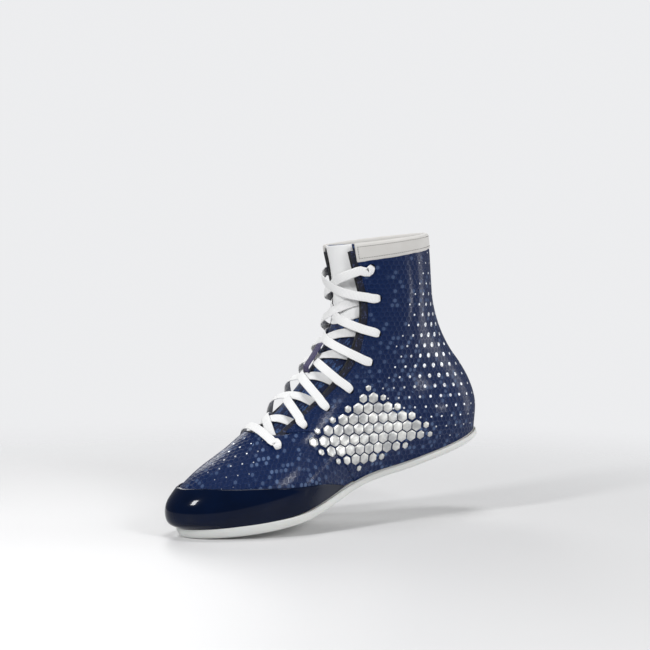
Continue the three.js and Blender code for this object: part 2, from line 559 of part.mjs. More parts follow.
// One end of the lace, from the lowest row's hole to its tip. Each station has a middle p, the
// surface normal n or a width direction w, and a size.
const RUN_DOWN = [[0.185, 0.868], [0.205, 0.84], [0.222, 0.805], [0.234, 0.765]];
const TIP_RUN = [[0.2385, 0.735], [0.24, 0.7], [0.24, 0.665]];
function laceEnd(first) {
  const stations = [];
  const flat = (u, v, d, share = 0) => stations.push({
    p: offset(u, v, d), n: normalAt(u, v),
    wide: mix(LACE_WIDTH, FOLDED_WIDTH, share), thick: mix(LACE, FOLDED, share),
  });
  const fold = (row, side, away, places) => {
    const [u, v] = holeAt(row, side);
    const n = normalAt(u, v);
    const out = away.clone().projectOnPlane(n).normalize();
    for (const [x, d, share] of places)
      stations.push({
        p: last(u, v).addScaledVector(out, x).addScaledVector(n, d),
        w: new THREE.Vector3().crossVectors(n, out),
        wide: mix(LACE_WIDTH, FOLDED_WIDTH, share), thick: mix(LACE, FOLDED, share),
      });
  };
  const sideAt = (row) => (row % 2 ? -first : first);
  const heading = (row) => at(row + 1, sideAt(row + 1)).sub(at(row, sideAt(row))).normalize();
  const inward = [...FOLD].reverse();
  const across = at(0, first).sub(at(0, -first)).normalize();
  fold(0, first, across.sub(heading(0)), inward);
  for (let row = 0; row < TOP_ROW; row += 1) {
    const side = sideAt(row);
    const kept = row === KEEPER_ROW;
    const over = (row % 2 === 0) === (side > 0);
    const middle = kept ? KEPT_LOW + over * KEPT_CROSSING : MIDDLE_LOW + over * CROSSING;
    const depth = depthCurve(row === 0 ? [IN, IN + 0.8, middle, IN + 0.8, IN]
      : row === TOP_ROW - 1 ? [ON, ON - 0.2, middle + 0.8, ON - 0.2, ON]
        : [ON, ON - 0.2, middle, IN + 0.8, IN]);
    span(holeAt(row, side), holeAt(row + 1, -side), depth).forEach((q, i) => {
      flat(q.u, q.v, q.d);
      if (kept && Math.abs(SPAN[i] - 0.5) < 0.2) stations.at(-1).wide *= KEPT_WIDTH;
    });
    if (row < TOP_ROW - 1) fold(row + 1, -side, heading(row).sub(heading(row + 1)), FOLD);
    else fold(row + 1, -side, heading(row), inward.slice(0, 5));
  }
  flat(sideAt(TOP_ROW) * 0.1715, 0.898, IN + 0.9, 1);
  flat(sideAt(TOP_ROW) * 0.1765, 0.885, IN, 0.6);
  for (const [u, v] of RUN_DOWN) flat(sideAt(TOP_ROW) * u, v, IN);
  return stations;
}

// A flat band through stations. Its width stays on one side from station to station.
function band(stations) {
  const points = [];
  let before = null;
  const profile = [[0.5, 0], [0.4, 0.5], [-0.4, 0.5], [-0.5, 0], [-0.4, -0.5], [0.4, -0.5]];
  stations.forEach((s, i) => {
    const next = stations[Math.min(i + 1, stations.length - 1)].p;
    const tangent = next.clone().sub(stations[Math.max(i - 1, 0)].p).normalize();
    const w = (s.w ? s.w.clone() : new THREE.Vector3().crossVectors(s.n, tangent));
    w.projectOnPlane(tangent).normalize();
    if (before && w.dot(before) < 0) w.negate();
    before = w;
    const up = new THREE.Vector3().crossVectors(tangent, w);
    for (const [a, b] of profile)
      points.push(s.p.clone().addScaledVector(w, a * s.wide).addScaledVector(up, b * s.thick));
  });
  const k = profile.length;
  const faces = [];
  for (let i = 0; i < stations.length - 1; i += 1)
    for (let j = 0; j < k; j += 1) {
      const [a, b] = [i * k + j, i * k + ((j + 1) % k)];
      faces.push([a, b, b + k], [a, b + k, a + k]);
    }
  const end = (stations.length - 1) * k;
  for (let j = 1; j < k - 1; j += 1) faces.push([0, j + 1, j], [end, end + j, end + j + 1]);
  return solid(geometry(points, faces));
}
const bar = span(holeAt(0, 1), holeAt(0, -1), () => ON).map((q) => ({
  p: offset(q.u, q.v, q.d), n: normalAt(q.u, q.v), wide: LACE_WIDTH, thick: LACE,
}));
add("lace", band([...laceEnd(1).reverse(), ...bar, ...laceEnd(-1)]), "lace");
for (const [name, side] of Object.entries(SIDES)) {
  const way = curve([0, 1, 2, 3], [RUN_DOWN[3], ...TIP_RUN].map((p) => p[0]));
  const drop = curve([0, 1, 2, 3], [RUN_DOWN[3], ...TIP_RUN].map((p) => p[1]));
  add(`lace_tip_${name}`, band([0.12, 1, 2, 2.6].map((t) => ({
    p: offset(side * way(t), drop(t), IN), n: normalAt(side * way(t), drop(t)),
    wide: TIP_WIDTH, thick: TIP,
  }))), "tip");
}

// Lace keeper: a strap on the tongue, over one crossing.
const [, keeperV] = reach(at(KEEPER_ROW, 1).add(at(KEEPER_ROW + 1, -1)).multiplyScalar(0.5),
  normalAt(...holeAt(KEEPER_ROW, 1)).add(normalAt(...holeAt(KEEPER_ROW + 1, -1))).normalize(),
  [0, HOLES[KEEPER_ROW][1] + 0.14]);
const KEEPER_HALF_V = 0.06;
const KEEPER_HALF_U = 0.011;
const KEEPER_RISE = TONGUE_TOP + KEPT_LOW + KEPT_CROSSING + LACE / 2 + LACE_CLEAR + GAP;
const keeperDepth = (v) => -TONGUE_TOP + GAP
  + KEEPER_RISE * (1 - smooth(0.46, 0.74, Math.abs(v - keeperV) / KEEPER_HALF_V));
add("lace_keeper", slab({
  place: (a, b) => [mix(-KEEPER_HALF_U, KEEPER_HALF_U, a),
    keeperV + mix(-KEEPER_HALF_V, KEEPER_HALF_V, b)],
  outer: (u, v) => keeperDepth(v) + KEEPER, inner: (u, v) => keeperDepth(v), na: 2, nb: 20,
}), "keeper");

// ---------------------------------------------------------------- into the shared frame
const centre = new THREE.Box3().setFromObject(group).getCenter(new THREE.Vector3());
for (const part of group.children) part.geometry.translate(-centre.x, -centre.y, 0);

export default group;
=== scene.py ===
# %% [markdown]
# # A laced boxing boot, from its CAD frame
# The CAD model says where every part goes and how it moves. This lesson gives each visible piece
# its real surface: coated textile with an embossed honeycomb, a glossy toe rand, knitted mesh, a
# padded collar, webbing, rubber and a woven lace. Everything is in millimetres until a mesh is
# made, and in metres in Blender.

# %% Load the frame
from math import cos, pi, radians, sin, sqrt

import bmesh
import bpy
import numpy as np
from mathutils import Matrix, Vector


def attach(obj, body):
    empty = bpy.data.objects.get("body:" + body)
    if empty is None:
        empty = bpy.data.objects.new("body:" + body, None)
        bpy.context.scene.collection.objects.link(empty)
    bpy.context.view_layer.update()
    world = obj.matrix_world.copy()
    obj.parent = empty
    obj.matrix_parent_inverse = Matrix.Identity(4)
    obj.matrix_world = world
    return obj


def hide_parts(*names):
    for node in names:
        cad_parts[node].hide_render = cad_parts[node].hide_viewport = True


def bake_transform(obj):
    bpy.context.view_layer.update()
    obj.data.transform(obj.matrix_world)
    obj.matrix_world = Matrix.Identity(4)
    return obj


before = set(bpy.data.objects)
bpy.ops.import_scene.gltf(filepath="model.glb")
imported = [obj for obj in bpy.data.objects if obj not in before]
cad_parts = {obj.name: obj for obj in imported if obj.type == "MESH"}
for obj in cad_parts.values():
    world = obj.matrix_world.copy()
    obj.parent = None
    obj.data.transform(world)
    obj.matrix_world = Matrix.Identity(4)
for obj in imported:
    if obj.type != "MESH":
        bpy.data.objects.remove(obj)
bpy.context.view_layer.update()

# %% [markdown]
# ## The last
# A boot is pulled over a last, a solid foot-shaped form, so every layer of the upper is the same
# surface at another depth. It could be sculpted or wrapped, but then the layers would have to be
# fitted to each other by hand. Here the last is a formula: sections round the foot at six levels,
# joined by smooth curves, the same as in the CAD model. u runs round the foot from the front ridge
# (0) along the medial side to the back (0.5) and home along the lateral side. v runs from the feather
# line (0) to the collar (1). d is the distance out from the surface.

# %% The last
CENTRE = np.array([1.848, -1.892, 0.0])  # puts the last in the middle of the frame
FRONT = [(-140, 14), (-146, 27), (-141, 43), (-119, 56), (-85, 66), (-46, 81), (-9, 101),
         (20, 123), (35, 147), (40, 170), (42, 191)]
BACK = [(136, 8), (143, 28), (143, 46), (139, 62), (133, 77), (129, 92), (127, 107),
        (127, 123), (130, 140), (134, 158), (137, 175)]
SECTIONS = [0, 1, 3, 5, 7, 10]
MEDIAL = np.array([
    [50, 52, 52.3, 46, 25, 26.5, 39, 47, 48], [55, 57.5, 55, 49.8, 34, 33.5, 43.8, 52, 52],
    [36, 36.6, 36.8, 35.7, 33, 34.6, 39.6, 41.8, 40], [28, 28.7, 28.3, 30.3, 33, 35.7, 35.4, 34, 33],
    [30, 31, 31.5, 33, 35, 36.5, 35, 32, 31], [33, 34, 34.5, 35.5, 36.5, 36.5, 35, 33, 32]])
LATERAL = np.array([
    [50, 47, 47.4, 52, 43, 37.9, 43.8, 48.3, 48], [55, 52, 51, 54, 46, 42, 48, 53.6, 52],
    [36, 34, 35.4, 35.7, 35, 36.8, 41, 41.8, 40], [28, 28, 28, 30, 33, 37, 36, 34, 33],
    [30, 31, 31.5, 33, 35, 36.5, 35, 32, 31], [33, 34, 34.5, 35.5, 36.5, 36.5, 35, 33, 32]])
OUTSOLE, TOE_SPRING, ARCH_LIFT = 7.0, 15.0, 2.5  # thickness, and the two rises of the sole
print(len(SECTIONS), "levels of", MEDIAL.shape[1], "stations on each side")

# %% [markdown]
# ## Smooth curves
# Edges and sections need curves through a few chosen points. A Bezier curve object would do for one,
# but the same curve also has to be asked for its value at any place, so it is a small function:
# Hermite spans, whose slopes come from the neighbouring points.

# %% Smooth curves
def spline(xs, ys):
    """A smooth curve through (xs, ys): Hermite spans with three-point slopes."""
    xs, ys = np.asarray(xs, float), np.asarray(ys, float)
    h = np.diff(xs)
    slope = np.diff(ys) / h
    tangent = np.concatenate([slope[:1], (slope[:-1] * h[1:] + slope[1:] * h[:-1]) / (h[1:] + h[:-1]),
                              slope[-1:]])

    def at(x):
        x = np.asarray(x, float)
        i = np.clip(np.searchsorted(xs, x, side="right") - 1, 0, len(xs) - 2)
        t = (x - xs[i]) / h[i]
        return ((2 * t**3 - 3 * t**2 + 1) * ys[i] + (t**3 - 2 * t**2 + t) * h[i] * tangent[i]
                + (3 * t**2 - 2 * t**3) * ys[i + 1] + (t**3 - t**2) * h[i] * tangent[i + 1])
    return at


def smooth(low, high, t):
    s = np.clip((np.asarray(t, float) - low) / (high - low), 0, 1)
    return s * s * (3 - 2 * s)


print("a curve through 0, 1 and 4, at half a step:", float(spline([0, 1, 2], [0, 1, 4])(0.5)))

# %% [markdown]
# ## Places on the last
# The ridge is the boot's front line and the spine is its back line. Between them each level is a half
# oval on each side, wide or narrow as the tables say. Near the sole the level bends to the sole's own
# curve, with its toe spring and its arch.

# %% Places on the last
RIDGE = [spline(range(11), [p[k] for p in FRONT]) for k in (0, 1)]
SPINE = [spline(range(11), [p[k] for p in BACK]) for k in (0, 1)]
FULL = [[spline(SECTIONS, table[:, k]) for k in range(9)] for table in (MEDIAL, LATERAL)]


def sole_rise(x):
    toe = np.clip((-50 - x) / 92, 0, None) ** 1.6 * TOE_SPRING
    return toe + ARCH_LIFT * (1 - smooth(0, 46, abs(x - 18)))


def last(u, v):
    """Places on the last, in millimetres, before centring."""
    u, v = np.broadcast_arrays(np.asarray(u, float) % 1.0, np.asarray(v, float))
    level, angle = v * 10, 2 * pi * u
    degrees = np.degrees(np.where(angle > pi, 2 * pi - angle, angle))
    i = np.clip((degrees // 22.5).astype(int), 0, 7)
    t = degrees / 22.5 - i
    half = np.zeros(u.shape)
    for side, mask in ((0, angle <= pi), (1, angle > pi)):
        row = np.stack([f(level) for f in FULL[side]], -1)
        slope = np.diff(row, axis=-1)
        inner = (slope[..., 1:] + slope[..., :-1]) / 2
        tangent = np.concatenate([slope[..., :1], inner, slope[..., -1:]], -1)
        pick = lambda a, k: np.take_along_axis(a, (i + k)[..., None], -1)[..., 0]
        value = ((2 * t**3 - 3 * t**2 + 1) * pick(row, 0) + (t**3 - 2 * t**2 + t) * pick(tangent, 0)
                 + (3 * t**2 - 2 * t**3) * pick(row, 1) + (t**3 - t**2) * pick(tangent, 1))
        half = np.where(mask, value, half)
    share = (1 - np.cos(angle)) / 2
    x = RIDGE[0](level) + (SPINE[0](level) - RIDGE[0](level)) * share
    z = RIDGE[1](level) + (SPINE[1](level) - RIDGE[1](level)) * share
    chord = FRONT[0][1] + (BACK[0][1] - FRONT[0][1]) * (x - FRONT[0][0]) / (BACK[0][0] - FRONT[0][0])
    z = z + np.clip(1 - level / 2.5, 0, 1) ** 2 * (OUTSOLE + sole_rise(x) - chord)
    return np.stack([x, -np.sin(angle) * half, z], -1)


print("toe before centring", last(0, 0.1).round(1))

# %% [markdown]
# ## Out from the last
# A layer of leather or foam lies a few tenths of a millimetre in or out, so its places are found
# along the surface's normal. Near the feather line the normal is kept level, as the upper turns
# straight down into the sole there.

# %% Out from the last
def unit(a):
    return a / np.maximum(np.linalg.norm(a, axis=-1, keepdims=True), 1e-12)


def normal(u, v):
    u, v = np.broadcast_arrays(np.asarray(u, float), np.asarray(v, float))
    low = np.maximum(v, 0)
    across = last(u + 1e-3, v) - last(u - 1e-3, v)
    along = last(u, low + 1e-3) - last(u, np.maximum(0, v - 1e-3))
    n = unit(np.cross(across, along))
    n[..., 2] *= smooth(0, 0.12, v)
    return unit(n)


def on(u, v, d=0.0):
    """Places at distance d from the last, in millimetres, in the frame."""
    d = np.asarray(d, float)[..., None] if np.ndim(d) else d
    return last(u, v) + normal(u, v) * d + CENTRE


print("toe tip", on(0, 0.1), "collar front", on(0, 1))

# %% [markdown]
# ## A flat chart of the sides
# A printed pattern is flat before the cloth goes over the last, so each piece has a UV map, the
# chart, that holds millimetres along the surface. A plain unwrap would turn the pattern's rows with
# the mesh. This chart keeps the rows level as the boot stands, with its heel raised: distance is
# summed round the heel along each level curve, and looked up in a table.

# %% A flat chart of the sides
PITCH = radians(17)  # the boot's tilt when its heel is raised as for a stance on the ball


def unroll(side):
    """A table of distance round one side of the heel, along the stance's level curves."""
    u, v = np.linspace(0.1, 0.5, 90), np.linspace(0, 1.02, 120)
    height = stance_height(last(side * u[:, None], v))
    levels = np.linspace(height.min(), height.max(), 140)
    on_level = np.stack([np.interp(levels, column, v) for column in height])
    p = last(side * u[:, None], on_level)
    steps = np.linalg.norm(np.diff(p, axis=0), axis=-1)
    run = np.concatenate([np.zeros((1, len(levels))), np.cumsum(steps, axis=0)])
    home = int(abs(u - 0.385).argmin())
    flat = p[home, :, 0] * cos(PITCH) - p[home, :, 2] * sin(PITCH)
    return u, levels, run - run[home] + flat


def look_up(table, u, level):
    us, levels, run = table
    x = np.clip((u - us[0]) / (us[1] - us[0]), 0, len(us) - 1.001)
    y = np.clip((level - levels[0]) / (levels[1] - levels[0]), 0, len(levels) - 1.001)
    i, j = x.astype(int), y.astype(int)
    x, y = x - i, y - j
    return ((run[i, j] * (1 - y) + run[i, j + 1] * y) * (1 - x)
            + (run[i + 1, j] * (1 - y) + run[i + 1, j + 1] * y) * x)


def stance_height(p):
    return p[..., 0] * sin(PITCH) + p[..., 2] * cos(PITCH)


AROUND_HEEL = {side: unroll(side) for side in (1, -1)}
RIM = {side: last(side * np.linspace(0.01, 0.3, 60), 0.06) for side in (1, -1)}
RIDGE_LINE = last(0.0, np.linspace(0.06, 0.5, 60))


def chart_side(u, v):
    """(s, t) in mm: s round the side along level rows, t up from row to row in the stance."""
    u, v = np.broadcast_arrays(np.asarray(u, float) % 1.0, v)
    t = stance_height(last(u, v))
    s = np.where(u <= 0.5, look_up(AROUND_HEEL[1], u, t), look_up(AROUND_HEEL[-1], 1 - u, t))
    return s, t


print("chart near the ankle", [c.round(1) for c in chart_side(np.array([0.3]), np.array([0.6]))])

# %% [markdown]
# ## A flat chart of the toe
# Over the toe the print runs across the foot. A chart round the heel would squeeze there, so the toe
# has its own: across along the section's arc, and along the foot.

# %% A flat chart of the toe
def chart_top(u, v):
    """(s, t) in mm over the vamp: s across from the ridge, t along it. Each section of the vamp is
    near enough half an ellipse, whose arc is summed in steps."""
    p = last(u, v)
    x, y, sole = p[..., 0], p[..., 1], OUTSOLE + sole_rise(p[..., 0])
    wide = [np.interp(x, RIM[side][:, 0], abs(RIM[side][:, 1])) for side in (1, -1)]
    wide = np.maximum(np.where(y < 0, wide[0], wide[1]), 6)
    tall = np.maximum(np.interp(x, RIDGE_LINE[:, 0], RIDGE_LINE[:, 2]) - sole, 6)
    angle = np.arctan2(abs(y) / wide, np.maximum(p[..., 2] - sole, 0) / tall)
    steps = angle[..., None] * np.linspace(0, 1, 25)
    arc = np.hypot(wide[..., None] * np.cos(steps), tall[..., None] * np.sin(steps)).mean(-1) * angle
    return -np.sign(y) * arc, x * 1.06


print("chart on the toe", [c.round(1) for c in chart_top(np.array([0.05]), np.array([0.2]))])

# %% [markdown]
# ## Meshes from places
# Sheets that follow a last have a few thousand places each, which nobody would drag by hand, so the
# mesh is built from a list of places. Its object stays at the origin, unturned and unscaled. Normals
# are recalculated so that faces point outwards.

# %% Meshes from places
def obj_from(name, verts, faces, uv=None, attributes=None):
    """An object at the origin from places in mm. uv is one (s, t) for each vertex."""
    mesh = bpy.data.meshes.new(name)
    mesh.from_pydata((np.asarray(verts) * 0.001).tolist(), [], [list(map(int, f)) for f in faces])
    bm = bmesh.new()
    bm.from_mesh(mesh)
    bmesh.ops.recalc_face_normals(bm, faces=bm.faces)
    bm.to_mesh(mesh)
    bm.free()
    if uv is not None:
        index = np.empty(len(mesh.loops), int)
        mesh.loops.foreach_get("vertex_index", index)
        layer = mesh.uv_layers.new(name="chart")
        layer.data.foreach_set("uv", np.asarray(uv, float)[index].ravel())
    for key, values in (attributes or {}).items():
        mesh.attributes.new(key, "FLOAT", "POINT").data.foreach_set("value", np.asarray(values, float))
    mesh.polygons.foreach_set("use_smooth", [True] * len(mesh.polygons))
    o = bpy.data.objects.new(name, mesh)
    bpy.context.collection.objects.link(o)
    return o


def slab_faces(m, n):
    """Faces of two m x n vertex layers and the walls between their borders."""
    top = np.arange(m * n).reshape(m, n)
    low = top + m * n
    quads = []
    for i in range(m - 1):
        k = i + 1
        for j in range(n - 1):
            quads += [(top[i, j], top[k, j], top[k, j + 1], top[i, j + 1]),
                      (low[i, j], low[i, j + 1], low[k, j + 1], low[k, j])]
        quads += [(top[i, 0], low[i, 0], low[k, 0], top[k, 0]),
                  (top[i, -1], top[k, -1], low[k, -1], low[i, -1])]
    for j in range(n - 1):
        quads += [(top[0, j], top[0, j + 1], low[0, j + 1], low[0, j]),
                  (top[-1, j], low[-1, j], low[-1, j + 1], top[-1, j + 1])]
    return quads


print("meshes go to", bpy.context.collection.name)

# %% [markdown]
# ## Closed sheets with rounded rims
# Leather and mesh have a thickness and a cut edge. A Solidify modifier would give the thickness but a
# sharp rim, so a patch makes both faces itself, and two extra rows next to each edge round the rim.

# %% Closed sheets with rounded rims
def rimmed(n, rim):
    """n even steps from 0 to 1 with two more close to each end, for a rounded rim."""
    t = np.linspace(0, 1, n)
    return np.unique(np.concatenate([t, [rim * 0.3, rim, 1 - rim, 1 - rim * 0.3]]))


def patch(name, place, outer, inner, na, nb, chart=chart_side, rim=(0.006, 0.006),
          attributes=None):
    """A closed sheet. place(a, b) gives (u, v) for a and b from 0 to 1."""
    A, B = np.meshgrid(rimmed(na, rim[0]), rimmed(nb, rim[1]), indexing="ij")
    U, V = place(A, B)
    U, V = np.broadcast_arrays(U, V)
    top = outer(U, V, A, B) if callable(outer) else np.full(A.shape, float(outer))
    low = inner(U, V, A, B) if callable(inner) else np.full(A.shape, float(inner))
    edge = np.minimum(np.minimum(B, 1 - B) / rim[1], np.minimum(A, 1 - A) / rim[0])
    bevel = (1 - np.sqrt(1 - (1 - np.clip(edge, 0, 1)) ** 2)) * 0.42 * (top - low)
    points = np.concatenate([on(U, V, top - bevel).reshape(-1, 3), on(U, V, low + bevel).reshape(-1, 3)])
    s, t = chart(U, V)
    uv = np.stack([s, t], -1).reshape(-1, 2)
    extra = {k: np.tile(f(U, V, s, t).ravel(), 2) for k, f in (attributes or {}).items()}
    return obj_from(name, points, slab_faces(*A.shape), np.tile(uv, (2, 1)), attributes=extra)


print("a patch of 4 x 4 steps has", len(slab_faces(4, 4)), "faces")

# %% [markdown]
# ## Where the boot bends
# The sole bends at the ball and the shaft at the ankle. A real boot has no hinge there: the cloth and
# the rubber give way over a few centimetres. Here the two bend functions only bake a piece's
# transform into its mesh.


def bend_ball(o):
    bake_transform(o)


def bend_ankle(o):
    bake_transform(o)


# %% [markdown]
# ## Throat and lace holes
# The throat is the opening that the lace closes. Its edge and the eight rows of holes are shared by
# the quarters, the underlay, the lining, the tongue and the lace, so they are given once, as in the
# CAD model.

# %% Throat and lace holes
edge_u = spline([0.388, 0.452, 0.51, 0.583, 0.683, 0.749, 0.846, 0.919, 1.0],
                [0.142, 0.158, 0.178, 0.187, 0.168, 0.16, 0.142, 0.132, 0.127])
HOLES = [(0.158, 0.32), (0.175, 0.386), (0.193, 0.432), (0.217, 0.471), (0.225, 0.56),
         (0.208, 0.664), (0.186, 0.788), (0.17, 0.903)]
HOLE_R = 2.6  # in mm
SIDES = {"medial": 1, "lateral": -1}
COLLAR_V = 0.936  # v of the quarters' upper edge
print(len(HOLES), "rows of holes")

# %% [markdown]
# ## Vamp
# The vamp covers the toes. It is one piece of coated textile, and the quarters lie over its rear
# edge. Two numbers at each vertex steer its print later: "dots" is the radius of the bright dots in
# mm, and "specks" says where the larger, paler spots gather. Vertex attributes were chosen since the
# pattern grows and fades along the shape, which no flat picture would follow.

# %% Vamp
vamp_top = spline([0, 0.05, 0.1, 0.142, 0.17, 0.20, 0.235, 0.25, 0.258],
                  [0.455, 0.447, 0.421, 0.39, 0.372, 0.345, 0.212, 0.108, 0.031])
VAMP_END = 0.258  # u where the vamp's lower corners lie
FEATHER = 0.004  # v just over the feather line
VAMP_OUT, VAMP_IN = -0.45, -1.75  # its two faces, from the last, in mm


def vamp_place(a, b):
    u = (2 * a - 1) * VAMP_END
    return u, FEATHER + (vamp_top(abs(u)) - FEATHER) * b


def dots_top(u, v, s, t):
    return 0.85 * np.exp(-((t + 92) / 26.0) ** 2 - (abs(s) / 36) ** 4)


def specks_top(u, v, s, t):
    return 0.2 + 0.5 * np.exp(-((t + 62) / 36.0) ** 2)


vamp = patch("vamp", vamp_place, VAMP_OUT, VAMP_IN, 110, 56, chart_top, rim=(0.004, 0.006),
             attributes={"dots": dots_top, "specks": specks_top})
print(vamp.name, len(vamp.data.vertices))

# %% [markdown]
# ## Quarters
# The quarters are the two side panels, from the arch up to the collar. Each is one sheet that passes
# over the CAD model's three nodes, because the real panel is cut in one and only creases at the
# ankle. Their back edges leave a strip open for the tape over the heel seam.

# %% Quarters
quarter_front = spline([0, 0.031, 0.108, 0.212, 0.30, 0.345, 0.375, 0.392, 0.42, 0.452, 0.51, 0.583,
                        0.683, 0.749, 0.846, 0.94],
                       [0.255, 0.252, 0.244, 0.229, 0.209, 0.19, 0.163, 0.146, 0.149, 0.158, 0.178, 0.187,
                        0.168, 0.16, 0.142, 0.130])
QUARTER_OUT, QUARTER_IN = 0.25, -1.1  # the two faces, from the last, in mm
QUARTER_LOW = -0.005  # v of the lower edge, tucked behind the outsole's lip
BACK_EDGE, CORNER_V = 0.481, 0.885  # u of the back edge, and v where its round corner starts


def dots_side(u, v, s, t):
    u = np.where(u > 0.5, 1 - u, abs(u))
    field = np.exp(-((u - 0.376) / 0.062) ** 2 - (abs(t - 117) / 50) ** 2.6)
    return np.where(field > 0.05, 0.55 + 1.45 * field, 0)


def specks_side(u, v, s, t):
    u = np.where(u > 0.5, 1 - u, abs(u))
    return 0.7 * np.exp(-((u - 0.29) / 0.1) ** 2) * (0.45 + 0.55 * np.exp(-((t - 60) / 55.0) ** 2)) + 0.1


def quarter_place(side):
    def place(a, b):
        v = QUARTER_LOW + (COLLAR_V - QUARTER_LOW) * b
        corner = np.clip((v - CORNER_V) / (COLLAR_V - CORNER_V), 0, 0.995)
        back = BACK_EDGE - 0.03 * (1 - np.sqrt(1 - corner**2))
        front = quarter_front(v)
        return side * (front + (back - front) * a), v
    return place


quarters = {}
for name, side in SIDES.items():
    o = patch(f"quarter_skin_{name}", quarter_place(side), QUARTER_OUT, QUARTER_IN, 110, 96,
              rim=(0.005, 0.005), attributes={"dots": dots_side, "specks": specks_side})
    quarters[name] = o
    print(o.name, len(o.data.vertices))

# %% [markdown]
# ## Eyestay underlays
# Under each row of holes lies a strip of firm mesh, the eyestay, which keeps the holes from tearing.
# It shows as a dark edge along the throat.

# %% Eyestay underlays
EYESTAY_V = (0.375, 0.975)
EYESTAY_SHOWN = 0.018  # how far it shows past the quarter's edge, in u
EYESTAY_OUT, EYESTAY_IN = -1.35, -2.1
THROAT_LOW = 0.388  # v of the throat's lower end


def eyestay_place(side):
    def place(a, b):
        v = EYESTAY_V[0] + (EYESTAY_V[1] - EYESTAY_V[0]) * b
        near = edge_u(np.clip(v, THROAT_LOW, 1))
        low = near - EYESTAY_SHOWN
        far = near + 0.035 * smooth(0.37, 0.45, v)
        return side * (low + (far - low) * a), v
    return place


print("the underlay shows", EYESTAY_SHOWN, "of the way round")

# %% [markdown]
# ## Punching the holes
# A hole is punched through the quarter and its underlay with one round tool. The same is done here:
# one cylinder for each hole, turned to the surface's normal, all joined and taken away with a
# Boolean. It is cleaner than leaving holes in a grid of faces, since their edges stay round.

# %% Punching the holes
CUTTER_LENGTH = 0.009  # in metres


def use(o):
    """Select only this object and make it active, as a click would."""
    bpy.ops.object.select_all(action="DESELECT")
    o.select_set(True)
    bpy.context.view_layer.objects.active = o


def punch(o, side):
    cutters = []
    for u, v in HOLES:
        p, n = on(side * u, v), normal(side * u, v)
        bpy.ops.mesh.primitive_cylinder_add(
            vertices=28, radius=HOLE_R * 0.001, depth=CUTTER_LENGTH, location=(p * 0.001).tolist(),
            rotation=Vector(n.tolist()).to_track_quat("Z", "Y").to_euler())
        cutters.append(bpy.context.object)
    bpy.ops.object.select_all(action="DESELECT")
    for c in cutters:
        c.select_set(True)
    bpy.context.view_layer.objects.active = cutters[0]
    bpy.ops.object.join()
    cutter = bpy.context.object
    use(o)
    bpy.ops.object.modifier_add(type="BOOLEAN")
    o.modifiers[-1].object = cutter
    o.modifiers[-1].operation = "DIFFERENCE"
    o.modifiers[-1].solver = "EXACT"
    bpy.ops.object.modifier_apply(modifier=o.modifiers[-1].name)
    bpy.data.objects.remove(cutter)
    bpy.ops.object.shade_smooth_by_angle(angle=radians(50))


eyestays = {}
for name, side in SIDES.items():
    eyestays[name] = patch(f"eyestay_mesh_{name}", eyestay_place(side), EYESTAY_OUT, EYESTAY_IN,
                           16, 90, rim=(0.03, 0.006))
    punch(quarters[name], side)
    punch(eyestays[name], side)
    print(quarters[name].name, "after punching", len(quarters[name].data.vertices))

# %% [markdown]
# ## Toe rand
# The rand is the glossy bumper moulded over the toe. It is thick in front and thins away to the
# sides, and its top edge is rolled. A patch with a thickness that varies gives all three, where
# extruding an edge loop would leave a step.

# %% Toe rand
rand_top = spline([0, 0.076, 0.139, 0.19, 0.216, 0.232, 0.2425],
                  [0.258, 0.236, 0.178, 0.116, 0.078, 0.04, 0.008])
RAND_END, RAND_LOW = 0.2425, 0.003  # u of its ends and v of its lower edge
RAND_IN = -0.35  # its inner face, from the last, in mm


def rand_place(a, b):
    u = (2 * a - 1) * RAND_END
    return u, RAND_LOW + (rand_top(abs(u)) - RAND_LOW) * b


def rand_skin(u, v, a, b):
    thin = smooth(0, 0.16, 1 - abs(2 * a - 1))
    roll = 0.5 * np.exp(-((1 - b) / 0.07) ** 2)
    return 0.15 + thin * (1.15 + roll * 0.6) + 0.3 * thin * np.sin(pi * b)


rand = patch("rand_gloss", rand_place, rand_skin, RAND_IN, 150, 30, chart_top, rim=(0.004, 0.03))
print(rand.name, len(rand.data.vertices))

# %% [markdown]
# ## Shape of the outsole
# The outsole is one piece of white rubber: a low wall round the foot, higher at the toe, and a tread
# below. A sculpted or booleaned tread would be heavy, so the tread is a depth that a formula gives at
# each place: flex grooves, a pivot ring under the ball, and chevron ribs.

# %% Shape of the outsole
AROUND = 440
SOLE_BED = 6.6  # height of the bed that the upper stands on, over the sole's curve, in mm


def sole_point(u, out, height):
    """A place out from the feather line, at a height over the sole's curve."""
    u = np.asarray(u, float)
    n = normal(u, 0.0)
    p = last(u, 0.0) + n * np.asarray(out, float)[..., None]
    p[..., 2] = height + sole_rise(p[..., 0])
    return p + CENTRE


def lip(x):
    """Height of the wall's top over the sole's curve: highest at the toe."""
    return SOLE_BED + 2.4 * smooth(-40, -125, x) - 1.3 * smooth(-30, 20, x)


def tread(x, y):
    """How deep the tread is cut, in mm, at a place on the sole."""
    groove = sum(np.exp(-((x - c + 0.004 * y * y) / 1.5) ** 4) for c in (-98, -85, -72, -59, -46))
    ring = np.hypot(x + 60, y - 2)
    pivot = np.exp(-((ring - 21) / 1.4) ** 4) + np.exp(-((ring - 14) / 1.4) ** 4)
    ribs = (np.sin(2 * pi * (x * 0.9 + abs(y) * 0.5) / 5.6) > 0.1) * (x > 45)
    fine = (np.sin(2 * pi * (x - abs(y) * 0.6) / 5.6) > 0.2) * (abs(x + 66) < 62) * (ring > 23.5)
    return 1.3 * np.clip(groove * (ring > 23.5) + pivot, 0, 1) + 0.8 * np.clip(ribs + fine, 0, 1)


print("wall over the sole's curve at toe and heel, mm", float(lip(-140)), float(lip(120)))

